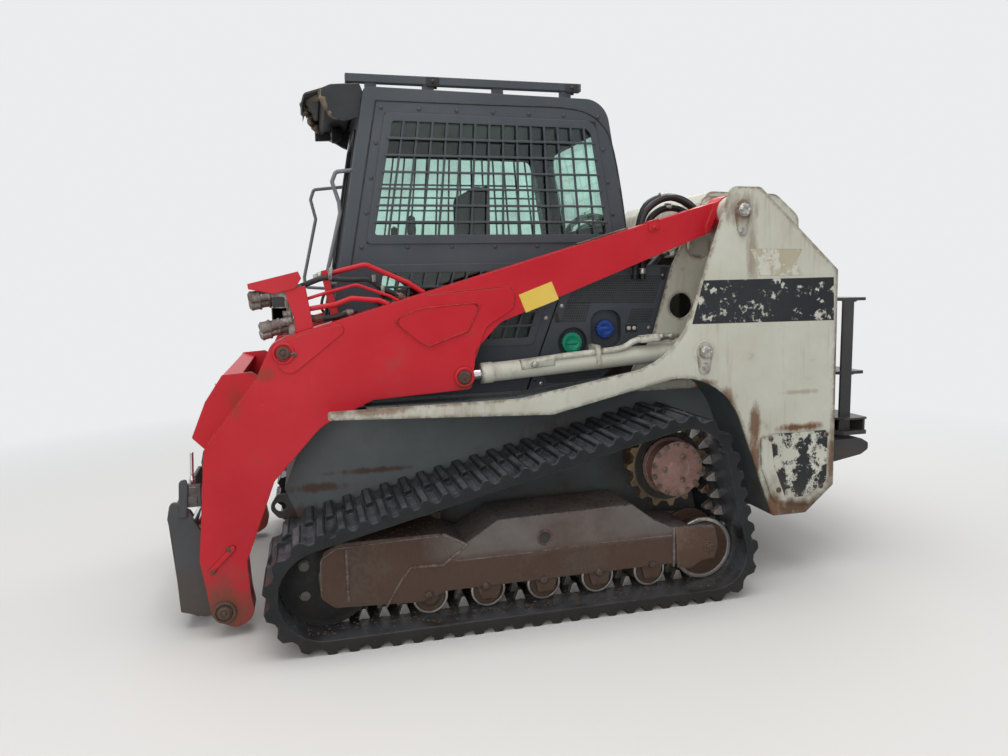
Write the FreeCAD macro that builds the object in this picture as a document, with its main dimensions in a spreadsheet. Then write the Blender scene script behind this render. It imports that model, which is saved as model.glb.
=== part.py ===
import FreeCAD, Part
import math
import os
import Sketcher
from FreeCAD import Placement, Rotation, Vector

# Compact track loader, stored as it parks: arms down, coupler upright, lids and door shut.
# Millimetres. +X is forward, +Y is the left side, +Z is up, and the ground is at zero.

doc = FreeCAD.newDocument("CompactTrackLoader")

# The driving sizes. Places ending in _x and _z are in the side view, seen from the left.
SIZES = {
    # Arms, with the pins that carry them and the cylinders
    "pivot_x": -864, "pivot_z": 1788,
    "lift_foot_x": -679, "lift_foot_z": 1137,
    "lift_eye_x": 446, "lift_eye_z": 1065,
    "tilt_foot_x": 1211, "tilt_foot_z": 1204,
    "coupler_pin_x": 1509, "coupler_pin_z": 113,
    "tilt_eye_x": 1650, "tilt_eye_z": 410,
    "arm_outer": 700, "arm_wide": 115, "arm_plate": 14,
    "arm_root_radius": 80,
    "main_pin_radius": 30, "small_pin_radius": 22, "pin_play": 0.1,
    # Cylinders
    "lift_mid": 642, "lift_barrel_radius": 44, "lift_rod_radius": 27,
    "lift_barrel_long": 1040, "lift_eye_radius": 48,
    "tilt_mid": 492, "tilt_barrel_radius": 45, "tilt_rod_radius": 25,
    "tilt_barrel_long": 690, "tilt_eye_radius": 40, "tilt_eye_wide": 62,
    "eye_wide": 62, "rod_play": 0.4,
    # Body widths, as distances from the middle plane
    "tower_outer": 800, "tower_plate": 10,
    "chassis_half": 530, "chassis_plate": 12,
    "tower_inner_plate": 15,
    "cab_half": 500, "cab_wall": 25,
    "hood_half": 490, "guard_half": 600, "bumper_half": 650,
    # Chassis heights
    "belly_z": 290, "deck_z": 930,
    # Cab side view
    "cab_floor_z": 960, "cab_top_z": 2340, "cab_foot_x": 1066, "cab_brow_x": 818,
    "cab_back_x": -310, "cab_heel_x": -440, "cab_heel_z": 1600,
    "cab_notch_x": -144, "cab_tail_x": 103,
    "floor_thick": 25, "glass_thick": 6,
    # Tracks
    "track_outer": 990, "track_wide": 450, "belt_thick": 35, "lug_tall": 25,
    "guide_tall": 42, "guide_wide": 30, "guide_gap": 60,
    "link_pitch": 86, "belt_slack": 2,
    "front_idler_x": 1087, "front_idler_radius": 190,
    "rear_idler_x": -655, "rear_idler_radius": 150,
    "sprocket_x": -501, "sprocket_z": 613, "sprocket_radius": 205,
    "roller_radius": 78, "roller_first_x": 653, "roller_step": 257,
    "sprocket_teeth": 15,
    # Track frame
    "frame_outer": 900, "frame_inner": 630, "frame_room": 104,
    # Coupler
    "coupler_half": 573, "coupler_plate": 20, "coupler_front": 1732,
    # Rear
    "tower_back_x": -1392, "door_front_x": -1425, "door_back_x": -1500,
    "door_half": 520, "door_low_z": 640, "door_high_z": 1490,
    "hinge_x": -1445, "hinge_y": -560, "hood_hinge_x": -700, "hood_hinge_z": 1610,
    "lug_plate": 25, "tie_bore_radius": 25,
    "guard_back_x": -1732, "post_back_x": -1655,
    # Plates laid on: how proud they stand
    "arm_step": 6, "cover_thick": 6, "guard_bar": 6,
    # Running gap between parts that move past each other
    "seat_gap": 0.3,
}

sheet = doc.addObject("Spreadsheet::Sheet", "Sizes")
for row, (alias, number) in enumerate(SIZES.items(), start=1):
    sheet.set("A%d" % row, alias)
    sheet.set("B%d" % row, str(number))
    sheet.setAlias("B%d" % row, alias)
doc.recompute()


def factor(word):
    """One number or named size of a product such as 2*arm_wide."""
    return float(sheet.get(word)) if word in SIZES else float(word)


def worth(text):
    """The number that a sum of sizes stands for, such as 'arm_outer - arm_wide'."""
    total, sign = 0.0, 1
    for word in str(text).split():
        if word in "+-":
            sign = 1 if word == "+" else -1
        else:
            total += sign * math.prod(factor(part) for part in word.split("*"))
    return total


def bound(text):
    """The same sum as an expression on the sheet."""
    words = []
    for word in str(text).split():
        parts = ["Sizes." + part if part in SIZES else part for part in word.split("*")]
        words.append(" * ".join(parts))
    return " ".join(words)


def less(low, high):
    """The expression for high minus low."""
    flipped = {"+": "-", "-": "+"}
    words = str(low).split()
    head = ["+", words[0][1:]] if words[0][0] == "-" else ["-", words[0]]
    return " ".join([str(high)] + head + [flipped.get(word, word) for word in words[1:]])


def minus(text):
    """The expression for a sum with its sign turned."""
    return less(text, "0")


# Sketch planes: side is seen from the left (x, z), front from behind (y, z), flat from above
ROLES = {"side": "XZ_Plane", "front": "YZ_Plane", "flat": "XY_Plane"}


def draw_corners(sketch, corners, rules):
    """Adds one closed outline of corners (across, up, rounding) and binds each corner."""
    points = [Vector(worth(c[0]), worth(c[1]), 0) for c in corners]
    count = len(points)
    joints = []
    for i, corner in enumerate(corners):
        rounding = worth(corner[2]) if len(corner) > 2 else 0
        here = points[i]
        back = (points[i - 1] - here).normalize()
        ahead = (points[(i + 1) % count] - here).normalize()
        if rounding:
            half = math.acos(max(-1, min(1, back.dot(ahead)))) / 2
            run = rounding / math.tan(half)
            middle = here + (back + ahead).normalize() * (rounding / math.sin(half))
            joints.append((here + back * run, here + ahead * run, middle, rounding))
        else:
            joints.append((here, here, None, 0))
    first = sketch.GeometryCount
    sides = [Part.LineSegment(joints[i][1], joints[(i + 1) % count][0]) for i in range(count)]
    sketch.addGeometry(sides, False)
    for i, (start, end, middle, rounding) in enumerate(joints):
        before, after = first + (i - 1) % count, first + i
        if rounding:
            angles = [math.atan2(p.y - middle.y, p.x - middle.x) for p in (start, end)]
            leftward = (angles[1] - angles[0]) % (2 * math.pi) < math.pi
            if not leftward:
                angles.reverse()
            circle = Part.Circle(middle, Vector(0, 0, 1), rounding)
            arc = sketch.addGeometry(Part.ArcOfCircle(circle, *angles), False)
            corner = sketch.addGeometry(Part.Point(points[i]), True)
            enter, leave = (1, 2) if leftward else (2, 1)
            sketch.addConstraint([
                Sketcher.Constraint("Tangent", before, 2, arc, enter),
                Sketcher.Constraint("Tangent", arc, leave, after, 1),
                Sketcher.Constraint("PointOnObject", corner, 1, before),
                Sketcher.Constraint("PointOnObject", corner, 1, after)])
            index = sketch.addConstraint(Sketcher.Constraint("Radius", arc, rounding))
            rules.append((index, corners[i][2]))
            target = corner
        else:
            sketch.addConstraint(Sketcher.Constraint("Coincident", before, 2, after, 1))
            target = after
        for kind, value, text in (("DistanceX", points[i].x, corners[i][0]),
                                  ("DistanceY", points[i].y, corners[i][1])):
            constraint = Sketcher.Constraint(kind, -1, 1, target, 1, value)
            rules.append((sketch.addConstraint(constraint), text))


def draw_circle(sketch, across, up, radius, rules):
    """Adds one circle and binds its centre and radius."""
    middle = Vector(worth(across), worth(up), 0)
    circle = sketch.addGeometry(Part.Circle(middle, Vector(0, 0, 1), worth(radius)), False)
    for kind, value, text in (("DistanceX", middle.x, across), ("DistanceY", middle.y, up)):
        constraint = Sketcher.Constraint(kind, -1, 1, circle, 3, value)
        rules.append((sketch.addConstraint(constraint), text))
    index = sketch.addConstraint(Sketcher.Constraint("Radius", circle, worth(radius)))
    rules.append((index, radius))


def draw(body, name, plane, loops):
    """A sketch of closed loops: lists of corners, or (across, up, radius) circles."""
    sketch = body.newObject("Sketcher::SketchObject", name)
    origin = [f for f in body.Origin.OriginFeatures if f.Role == ROLES[plane]][0]
    sketch.AttachmentSupport = [(origin, "")]
    sketch.MapMode = "FlatFace"
    rules = []
    for loop in loops:
        if isinstance(loop, tuple):
            draw_circle(sketch, *loop, rules)
        else:
            draw_corners(sketch, loop, rules)
    for index, text in rules:
        if any(part in SIZES for part in str(text).replace("*", " ").split()):
            sketch.setExpression("Constraints[%d]" % index, bound(text))
    return sketch


def pad(name, plane, loops, low, high):
    """A body with straight sides: the loops, from low to high across their plane."""
    if not isinstance(loops[0], (list, tuple)) or not isinstance(loops[0][0], (list, tuple)):
        loops = [loops]
    body = doc.addObject("PartDesign::Body", name)
    sketch = draw(body, name + "_outline", plane, loops)
    start = less(high, "0") if plane == "side" else low
    sketch.AttachmentOffset = Placement(Vector(0, 0, worth(start)), Rotation())
    sketch.setExpression("AttachmentOffset.Base.z", bound(start))
    feature = body.newObject("PartDesign::Pad", name + "_pad")
    feature.Profile = sketch
    feature.Length = worth(less(low, high))
    feature.setExpression("Length", bound(less(low, high)))
    return body


def place(thing, spot, turn=None):
    """Puts a thing at a spot of three sums, turned by a Rotation."""
    thing.Placement = Placement(Vector(*[worth(text) for text in spot]), turn or Rotation())
    for axis, text in zip("xyz", spot):
        thing.setExpression("Placement.Base." + axis, bound(text))
    return thing


def turned(name, corners, spot, direction):
    """A body turned about a line from spot along direction; corners are (along, radius)."""
    body = doc.addObject("PartDesign::Body", name)
    sketch = draw(body, name + "_outline", "side", [corners])
    feature = body.newObject("PartDesign::Revolution", name + "_turn")
    feature.Profile = sketch
    feature.ReferenceAxis = (sketch, ["H_Axis"])
    feature.Angle = 360
    return place(body, spot, Rotation(Vector(1, 0, 0), direction))


def box(name, low, high):
    """A block between two corners."""
    block = doc.addObject("Part::Box", name)
    for side, start, end in zip(("Length", "Width", "Height"), low, high):
        setattr(block, side, worth(less(start, end)))
        block.setExpression(side, bound(less(start, end)))
    return place(block, low)


def inset(corners):
    """The same outline drawn in by the seat gap, for a pane in its window."""
    middle = [sum(worth(c[k]) for c in corners) / len(corners) for k in (0, 1)]
    moved = []
    for corner in corners:
        spot = [corner[k] + (" - " if worth(corner[k]) > middle[k] else " + ") + "seat_gap"
                for k in (0, 1)]
        moved.append(tuple(spot) + tuple(corner[2:]))
    return moved


TURNS = {"x": Rotation(Vector(0, 0, 1), Vector(1, 0, 0)),
         "y": Rotation(Vector(0, 0, 1), Vector(0, 1, 0)), "z": Rotation()}


def rod(name, spot, axis, radius, length):
    """A round bar from spot along the x, y or z axis."""
    bar = doc.addObject("Part::Cylinder", name)
    bar.Radius = worth(radius)
    bar.Height = worth(length)
    bar.setExpression("Radius", bound(radius))
    bar.setExpression("Height", bound(length))
    return place(bar, spot, TURNS[axis])


def fuse(name, things):
    """One piece made of overlapping or touching things."""
    joined = doc.addObject("Part::MultiFuse", name)
    joined.Shapes = things
    joined.Refine = True
    return joined


def group(name, things):
    """Like pieces that don't touch, kept together."""
    compound = doc.addObject("Part::Compound", name)
    compound.Links = things
    return compound


def cut(name, base, tool):
    """The base with the tool taken out of it."""
    result = doc.addObject("Part::Cut", name)
    result.Base = base
    result.Tool = tool
    return result


def common(name, things):
    """What all the things share."""
    shared = doc.addObject("Part::MultiCommon", name)
    shared.Shapes = things
    return shared


def mirrored(name, thing):
    """The same piece on the machine's other side."""
    image = doc.addObject("Part::Mirroring", name)
    image.Source = thing
    image.Normal = Vector(0, 1, 0)
    image.Base = Vector(0, 0, 0)
    return image


def made(name, shape):
    """A piece whose shape comes from a path or a count."""
    piece = doc.addObject("Part::Feature", name)
    piece.Shape = shape
    piece.Placement = Placement()
    return piece


def bent_tube(name, points, radius, bend):
    """A round tube along straight runs joined by arcs of radius bend."""
    route = [Vector(*[worth(text) for text in point]) for point in points]
    edges = []
    last = route[0]
    for before, here, after in zip(route, route[1:], route[2:]):
        back = (before - here).normalize()
        ahead = (after - here).normalize()
        half = math.acos(max(-1, min(1, back.dot(ahead)))) / 2
        run = worth(bend) / math.tan(half)
        middle = here + (back + ahead).normalize() * (worth(bend) / math.sin(half))
        crown = middle + (here - middle).normalize() * worth(bend)
        edges.append(Part.LineSegment(last, here + back * run).toShape())
        edges.append(Part.Arc(here + back * run, crown, here + ahead * run).toShape())
        last = here + ahead * run
    edges.append(Part.LineSegment(last, route[-1]).toShape())
    path = Part.Wire(edges)
    start = (route[1] - route[0]).normalize()
    ring = Part.Wire([Part.Circle(route[0], start, worth(radius)).toShape()])
    return made(name, path.makePipeShell([ring], True, False))


nodes = []


def node(label, thing):
    """Names a finished piece; its label is its file's name."""
    thing.Label = label
    nodes.append(thing)
    return thing


def both_sides(label, thing):
    """A left piece and its mirror image, each a node."""
    node(label + "_left", thing)
    node(label + "_right", mirrored(label + "_mirror", thing))


def both_in_one(label, thing):
    """A left piece and its mirror image in one node."""
    node(label, group(label + "_pair", [thing, mirrored(label + "_mirror", thing)]))


# Chassis tub: side plates, belly, nose and back plate, open at the top
tub_outline = [("1119", "882"), ("1243", "581"), ("1150", "belly_z + 40"), ("1040", "belly_z"),
               ("tower_back_x + 60", "belly_z"), ("tower_back_x", "belly_z + 90"),
               ("tower_back_x", "deck_z"), ("570", "deck_z"), ("860", "deck_z - 48")]
tub_room = [("1119 - chassis_plate", "deck_z + 100"), ("1119 - chassis_plate", "874"),
            ("1229", "578"), ("1140", "belly_z + 50"),
            ("1036", "belly_z + chassis_plate"),
            ("tower_back_x + 66", "belly_z + chassis_plate"),
            ("tower_back_x + chassis_plate", "belly_z + 96"),
            ("tower_back_x + chassis_plate", "deck_z + 100")]
tub_outer = pad("tub_outer", "side", tub_outline, minus("chassis_half"), "chassis_half")
tub_inner = pad("tub_inner", "side", tub_room, "chassis_plate - chassis_half",
                "chassis_half - chassis_plate")
rails = [box("deck_rail_%d" % i, ("tower_back_x", low, "deck_z"), ("1000", high, "959.7"))
         for i, (low, high) in enumerate((("-530", "-470"), ("470", "530")))]
door_frame = pad("door_frame", "front", [
    [("-545", "632", 20), ("545", "632", 20), ("545", "1500", 20), ("-545", "1500", 20)],
    [("-470", "700", 20), ("-470", "1440", 20), ("470", "1440", 20), ("470", "700", 20)]],
    "tower_back_x - 32", "tower_back_x")
tub_back_way = box("tub_back_way", ("tower_back_x - 5", "-470", "700"),
                   ("tower_back_x + 20", "470", "deck_z + 40"))
tub = cut("main_frame_tub", tub_outer, fuse("tub_rooms", [tub_inner, tub_back_way]))
# Tie-down lugs at both ends
rear_lug = [("tower_back_x + 8", "378"), ("tower_back_x + 8", "440"),
            ("tower_back_x - 62", "440", 30), ("tower_back_x - 62", "352", 30),
            ("tower_back_x + 30", "340")]
front_lug = [("1200", "545"), ("1165", "425"), ("1278", "432", 30), ("1318", "482", 36),
             ("1282", "540", 30)]
lugs, lug_bores = [], []
for name, outline, x, z, low in (("rear", rear_lug, "tower_back_x - 28", "396", "300"),
                                 ("front", front_lug, "1268", "484", "450")):
    lug = pad(name + "_lug", "side", [outline], low, low + " + lug_plate")
    lugs += [lug, mirrored(name + "_lug_mirror", lug)]
    lug_bores.append(rod(name + "_lug_bore", (x, "-530", z), "y", "tie_bore_radius", "1060"))
node("main_frame", cut("main_frame_bored", fuse("main_frame_welded", [tub, door_frame]
                                                + rails + lugs),
                       fuse("lug_bores", lug_bores)))

# Towers: an outer sheet that runs on as the fender's strip, an inner sheet and a back plate
tower_sheet = [("tower_back_x", "1508", 12), ("pivot_x - 94", "pivot_z + 107", 30),
               ("pivot_x + 60", "pivot_z + 107", 40), ("-590", "1260"), ("-541", "1101", 380),
               ("220", "968"), ("1045", "960", 12), ("1045", "925", 8), ("68", "888"),
               ("-770", "1075", 340), ("-1060", "310", 20), ("-1250", "310", 20),
               ("tower_back_x - 13", "440", 20)]
inner_sheet = [("tower_back_x", "1500"), ("pivot_x - 94", "pivot_z + 92", 20),
               ("pivot_x + 54", "pivot_z + 92", 30), ("-640", "1540", 100),
               ("-540", "1200", 60), ("-430", "1040", 40), ("-430", "deck_z"),
               ("tower_back_x", "deck_z")]
tower_hatch = ("-690", "1347", "62")
hose_hole = ("-782", "1642", "62")
back_plate = [("tower_back_x", "440"), ("tower_back_x", "1508"),
              ("pivot_x - 94", "pivot_z + 107"), ("pivot_x - 94", "pivot_z + 95"),
              ("tower_back_x + 8", "1503"), ("tower_back_x + 8", "440")]
outer_sheet = pad("outer_sheet", "side", [tower_sheet], "tower_outer - tower_plate",
                  "tower_outer")
middle_sheet = pad("middle_sheet", "side", [inner_sheet, tower_hatch, hose_hole],
                   "chassis_half", "chassis_half + tower_inner_plate")
back_sheet = pad("back_sheet", "side", [back_plate], "chassis_half",
                 "tower_outer - tower_plate")
# Bosses round the arm's pivot pin and the lift cylinder's foot pin, inside each sheet
arm_inner = "arm_outer - arm_wide"
cover = [("-985", "708", 15), ("-1352", "696", 12), ("-1365", "428", 20), ("-1262", "352", 20),
         ("-1062", "385", 30), ("-992", "560", 30)]
cover_plate = pad("cover_plate", "side", [cover], "tower_outer", "tower_outer + cover_thick")
boss_parts = [outer_sheet, middle_sheet, back_sheet, cover_plate,
              rod("pivot_boss_out", ("pivot_x", "arm_outer + 1", "pivot_z"), "y", "75",
                  "tower_outer - tower_plate - arm_outer - 1"),
              rod("pivot_boss_in", ("pivot_x", "chassis_half + tower_inner_plate", "pivot_z"),
                  "y", "75", "arm_outer - arm_wide - 1 - chassis_half - tower_inner_plate"),
              rod("foot_boss_out", ("lift_foot_x", "lift_mid + 0.5*eye_wide + 1",
                                    "lift_foot_z"), "y", "50",
                  "tower_outer - tower_plate - lift_mid - 0.5*eye_wide - 1"),
              rod("foot_boss_in", ("lift_foot_x", "chassis_half + tower_inner_plate",
                                   "lift_foot_z"), "y", "50",
                  "lift_mid - 0.5*eye_wide - 1 - chassis_half - tower_inner_plate")]
pin_holes = fuse("tower_pin_holes", [
    rod("pivot_hole", ("pivot_x", "chassis_half - 5", "pivot_z"), "y",
        "main_pin_radius", "tower_outer - chassis_half + 10"),
    rod("foot_hole", ("lift_foot_x", "chassis_half - 5", "lift_foot_z"), "y",
        "small_pin_radius", "tower_outer - chassis_half + 10")])
both_in_one("towers", cut("tower_welded", fuse("tower_blank", boss_parts), pin_holes))

# Tower pins: each is a bar with a round head and a teardrop lock plate outside
pins = []
for pin, x, z, radius in (("pivot", "pivot_x", "pivot_z", "main_pin_radius"),
                          ("foot", "lift_foot_x", "lift_foot_z", "small_pin_radius")):
    lock = [[(x + " - 48", z + " + 48", 47), (x + " + 48", z + " + 48", 47),
             (x + " + 24", z + " - 105", 22), (x + " - 24", z + " - 105", 22)]]
    pins.append(fuse(pin + "_pin_set", [
        rod(pin + "_bar", (x, "chassis_half + 2", z), "y", radius,
            "tower_outer - chassis_half - 2"),
        pad(pin + "_lock", "side", lock, "tower_outer", "tower_outer + 8"),
        rod(pin + "_head", (x, "tower_outer + 8", z), "y", radius + " - 4", "14")]))
both_in_one("tower_pins", group("tower_pins_left", pins))

# Fender deck and wheel arch: one folded sheet between the chassis and the outer strip
arch = [("880", "955"), ("220", "955"), ("-300", "1010"), ("-778", "1083", 346),
        ("-1068", "315"), ("-1060", "315"), ("-770", "1075", 340), ("-300", "1002"),
        ("220", "947"), ("880", "947")]
deck = pad("deck_sheet", "side", [arch], "chassis_half", "tower_outer - tower_plate")
both_in_one("fenders", cut("deck_sheet_notched", deck, middle_sheet))

# Tracks: one closed belt a side, with its lugs outside and its guide lugs inside
track_middle = "track_outer - 0.5*track_wide"
belt_z = "lug_tall + belt_thick"


def belt_path():
    """The belt's inner line round three wheels, as arcs and straight runs, from the nose."""
    base = worth(belt_z)
    wheels = [(worth("front_idler_x"), base + worth("front_idler_radius"),
               worth("front_idler_radius")),
              (worth("sprocket_x"), worth("sprocket_z"), worth("sprocket_radius")),
              (worth("rear_idler_x"), base + worth("rear_idler_radius"),
               worth("rear_idler_radius"))]
    turns = []
    for (ax, az, ar), (bx, bz, br) in zip(wheels, wheels[1:] + wheels[:1]):
        heading = math.atan2(bz - az, bx - ax)
        turns.append(heading - math.pi / 2 - math.asin((br - ar) / math.hypot(bx - ax, bz - az)))
    pieces = []
    for i, (x, z, radius) in enumerate(wheels):
        enter, leave = turns[i - 1], turns[i]
        while leave < enter:
            leave += 2 * math.pi
        pieces.append(("arc", x, z, radius, enter, leave))
        nx, nz, nr = wheels[(i + 1) % 3]
        start = (x + radius * math.cos(leave), z + radius * math.sin(leave))
        end = (nx + nr * math.cos(leave), nz + nr * math.sin(leave))
        pieces.append(("run", start, end, leave))
    return pieces


def belt_stations(parts):
    """Points and outward angles along the belt's inner line, so many parts to each link."""
    pieces = belt_path()
    lengths = []
    for piece in pieces:
        if piece[0] == "arc":
            lengths.append(piece[3] * (piece[5] - piece[4]))
        else:
            lengths.append(math.dist(piece[1], piece[2]))
    count = parts * round(sum(lengths) / worth("link_pitch"))
    stations = []
    for i in range(count):
        along = sum(lengths) * i / count
        for piece, length in zip(pieces, lengths):
            if along <= length:
                break
            along -= length
        if piece[0] == "arc":
            angle = piece[4] + along / piece[3]
            point = (piece[1] + piece[3] * math.cos(angle), piece[2] + piece[3] * math.sin(angle))
        else:
            angle = piece[3]
            share = along / length
            point = tuple(a + (b - a) * share for a, b in zip(piece[1], piece[2]))
        stations.append((point, angle))
    return stations


def offset(station, out):
    """A station's point moved outwards."""
    (x, z), angle = station
    return Vector(x + out * math.cos(angle), 0, z + out * math.sin(angle))


def ring(points):
    """A closed wire in the side view."""
    return Part.makePolygon(points + points[:1])


def belt_strip(low, high, outside, inside):
    """A strip of the belt across the machine between two closed outlines."""
    face = Part.Face(ring(outside)).cut(Part.Face(ring(inside)))
    face.translate(Vector(0, low, 0))
    return face.extrude(Vector(0, high - low, 0))


def belt():
    """The belt with two staggered rows of lugs and two rows of guide lugs."""
    quarter = belt_stations(4)
    thick = worth("belt_thick")
    tall = thick + worth("lug_tall")
    steps = [thick, tall, tall, thick]
    rows = []
    for shift in (0, 2):
        rows.append([offset(s, steps[(i + shift) % 4]) for i, s in enumerate(quarter)])
    guide = [-worth("guide_tall") if i % 4 == 1 else 0 for i in range(len(quarter))]
    plain_inside = [offset(s, 0) for i, s in enumerate(quarter) if i % 2 == 0]
    toothed = [offset(s, g) for s, g, i in zip(quarter, guide, range(len(quarter)))
               if i % 4 != 3]
    outer = worth("track_outer")
    middle = outer - worth("track_wide") / 2
    strips = [belt_strip(outer - worth("track_wide"), middle, rows[0], plain_inside),
              belt_strip(middle, outer, rows[1], plain_inside)]
    plain_outside = [offset(s, thick / 2) for i, s in enumerate(quarter) if i % 2 == 0]
    for side in (-1, 1):
        centre = middle + side * (worth("guide_gap") + worth("guide_wide")) / 2
        half = worth("guide_wide") / 2
        strips.append(belt_strip(centre - half, centre + half, plain_outside, toothed))
    return strips[0].fuse(strips[1:]).removeSplitter()


both_sides("track", made("belt_left", belt()))

# Idlers, rollers and sprockets: turned wheels on the belt's inner line


def wheel(name, x, z, radius, hub, half):
    """A double-rimmed wheel: two rims and a grooved waist that lets the guide lugs by."""
    waist = radius + " - guide_tall - 8"
    rim = radius + " - belt_slack"
    groove = "0.5*guide_gap + guide_wide + 3"
    corners = [("0.3 - frame_room", "0"), ("0.3 - frame_room", "16"), ("-" + half, "16"),
               ("-" + half, hub), ("18 - " + half, radius + " - 25"),
               ("18 - " + half, rim), (minus(groove), rim), (minus(groove), waist),
               (groove, waist), (groove, rim), (half + " - 18", rim),
               (half + " - 18", radius + " - 25"),
               (half, hub), (half, "16"), ("frame_room - 0.3", "16"),
               ("frame_room - 0.3", "0")]
    return turned(name, corners, (x, track_middle, z), Vector(0, 1, 0))


front_idler = wheel("front_idler_wheel", "front_idler_x", belt_z + " + front_idler_radius",
                    "front_idler_radius", "60", "100")
rear_idler = wheel("rear_idler_wheel", "rear_idler_x", belt_z + " + rear_idler_radius",
                   "rear_idler_radius", "50", "100")
both_in_one("idlers", group("idlers_left", [front_idler, rear_idler]))
rollers = []
for i in range(5):
    rollers.append(wheel("roller_%d" % i, "roller_first_x - %d*roller_step" % i,
                         belt_z + " + roller_radius", "roller_radius", "30", "100"))
both_in_one("track_rollers", group("rollers_left", rollers))


def sprocket_shape():
    """A toothed ring: tips just under the belt, round roots between them."""
    teeth = int(worth("sprocket_teeth"))
    tip = worth("sprocket_radius - belt_slack")
    root = tip - 26
    pitch = 2 * math.pi / teeth
    points = []
    for i in range(teeth):
        for share, radius in ((-0.11, tip), (0.11, tip), (0.3, root), (0.7, root)):
            angle = (i + share) * pitch
            points.append(Vector(worth("sprocket_x") + radius * math.cos(angle), 0,
                                 worth("sprocket_z") + radius * math.sin(angle)))
    plate = Part.Face(ring(points))
    plate.translate(Vector(0, worth(track_middle) - 22, 0))
    return plate.extrude(Vector(0, 44, 0))


hub_root = "chassis_half - track_outer + 0.5*track_wide"
hub = turned("drive_hub", [(hub_root, "0"), (hub_root, "120"), ("-22", "120"), ("-22", "135"),
                           ("40", "135"), ("40", "118"), ("100", "112"), ("112", "100"),
                           ("112", "0")],
             ("sprocket_x", track_middle, "sprocket_z"), Vector(0, 1, 0))
both_in_one("sprockets", fuse("sprocket_and_hub", [made("sprocket_ring", sprocket_shape()),
                                                   hub]))

# Track frames: a bevelled box beam with a nose and a fork, hollow below for the wheels
beam = [("1110", "200", 40), ("1116", "300", 60), ("1091", "399"), ("1030", "429", 15),
        ("611", "427"), ("498", "373"), ("355", "462"), ("-270", "471"), ("-379", "388"),
        ("-462", "345"), ("rear_idler_x - 35", "335", 20), ("rear_idler_x - 35", "172", 20),
        ("589", "172"), ("701", "136"), ("1055", "156", 20)]
frame_blank = pad("track_beam", "side", [beam], "frame_inner", "frame_outer")
channel = box("beam_channel", ("-900", track_middle + " - frame_room", "100"),
              ("1400", track_middle + " + frame_room", "330"))
wheel_rooms = [rod(name + "_room", (x, track_middle + " - frame_room",
                                    belt_z + " + " + radius), "y", radius + " + 12",
                   "2*frame_room")
               for name, x, radius in (("front", "front_idler_x", "front_idler_radius"),
                                       ("rear", "rear_idler_x", "rear_idler_radius"))]
frame_cut = cut("track_beam_open", frame_blank, fuse("beam_rooms", [channel] + wheel_rooms))
carriers = [box("carrier_%d" % i, (x, "chassis_half", "340"), (x + " + 140", "frame_inner + 5",
                                                           "440"))
            for i, x in enumerate(("560", "-200"))]
ears = []
for i in range(1, 5):
    x = "roller_first_x - %d*roller_step" % i
    ear = [(x + " - 55", "176"), (x + " - 35", "108", 15), (x + " + 35", "108", 15),
           (x + " + 55", "176")]
    for side, low in (("in", track_middle + " - frame_room - 20"),
                      ("out", track_middle + " + frame_room")):
        ears.append(pad("roller_ear_%s_%d" % (side, i), "side", [ear], low, low + " + 20"))
both_in_one("track_frames", fuse("track_frame_welded", [frame_cut] + carriers + ears))

# Cab: welded sides, roof, curved back, floor with its bulkhead, and a front frame
side_outline = [("cab_foot_x", "cab_floor_z"), ("cab_brow_x", "cab_top_z", 40),
                ("cab_back_x", "cab_top_z - 15", 120), ("cab_heel_x", "cab_heel_z"),
                ("cab_notch_x", "cab_heel_z"), ("cab_tail_x", "cab_floor_z")]
upper_window = [("824", "1672", 15), ("723", "2222", 25), ("-250", "2215", 60),
                ("-339", "1672", 20)]
lower_window = [("800", "1557", 15), ("-50", "1557", 15), ("75", "1190", 15),
                ("868", "1190", 15)]
both_in_one("cab_sides", pad("cab_side_sheet", "side", [side_outline, upper_window, lower_window],
                           "cab_half - cab_wall", "cab_half"))
inside_half = "cab_half - cab_wall"
roof = [("cab_brow_x + 4", "cab_top_z - 22"), ("cab_brow_x", "cab_top_z", 15),
        ("-200", "cab_top_z - 14"), ("-200", "cab_top_z - 60"),
        ("cab_brow_x + 11", "cab_top_z - 60")]
node("cab_roof", pad("cab_roof_panel", "side", [roof], minus(inside_half), inside_half))
back_wall = [("-200", "cab_top_z - 14"), ("cab_back_x", "cab_top_z - 15", 120),
             ("cab_heel_x", "cab_heel_z"), ("cab_heel_x + 25", "cab_heel_z"),
             ("cab_back_x + 24", "cab_top_z - 40", 98), ("-200", "cab_top_z - 39")]
back_window = [("-360", "1760", 30), ("360", "1760", 30), ("360", "2200", 60),
               ("-360", "2200", 60)]
back_blank = pad("cab_back_panel", "side", [back_wall], minus(inside_half), inside_half)
back_hole = pad("cab_back_hole", "front", [back_window], "-600", "-250")
node("cab_back", cut("cab_back_cut", back_blank, back_hole))
floor_band = [("cab_foot_x - 6", "cab_floor_z"), ("cab_tail_x", "cab_floor_z"),
              ("cab_notch_x", "cab_heel_z - 1"), ("cab_heel_x + 25", "cab_heel_z - 1"),
              ("cab_heel_x + 30", "cab_heel_z + 24"), ("cab_notch_x + 17", "cab_heel_z + 24"),
              ("cab_tail_x + 17", "cab_floor_z + floor_thick"),
              ("cab_foot_x - 10", "cab_floor_z + floor_thick")]
node("cab_floor", pad("cab_floor_pan", "side", [floor_band], minus(inside_half), inside_half))
front_band = [("cab_foot_x - 10", "cab_floor_z + floor_thick"),
              ("cab_brow_x + 11", "cab_top_z - 60"), ("cab_brow_x - 29", "cab_top_z - 60"),
              ("cab_foot_x - 50", "cab_floor_z + floor_thick")]
door_way = [("-400", "1030", 40), ("400", "1030", 40), ("400", "2240", 40), ("-400", "2240", 40)]
front_blank = pad("cab_front_band", "side", [front_band], minus(inside_half), inside_half)
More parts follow.
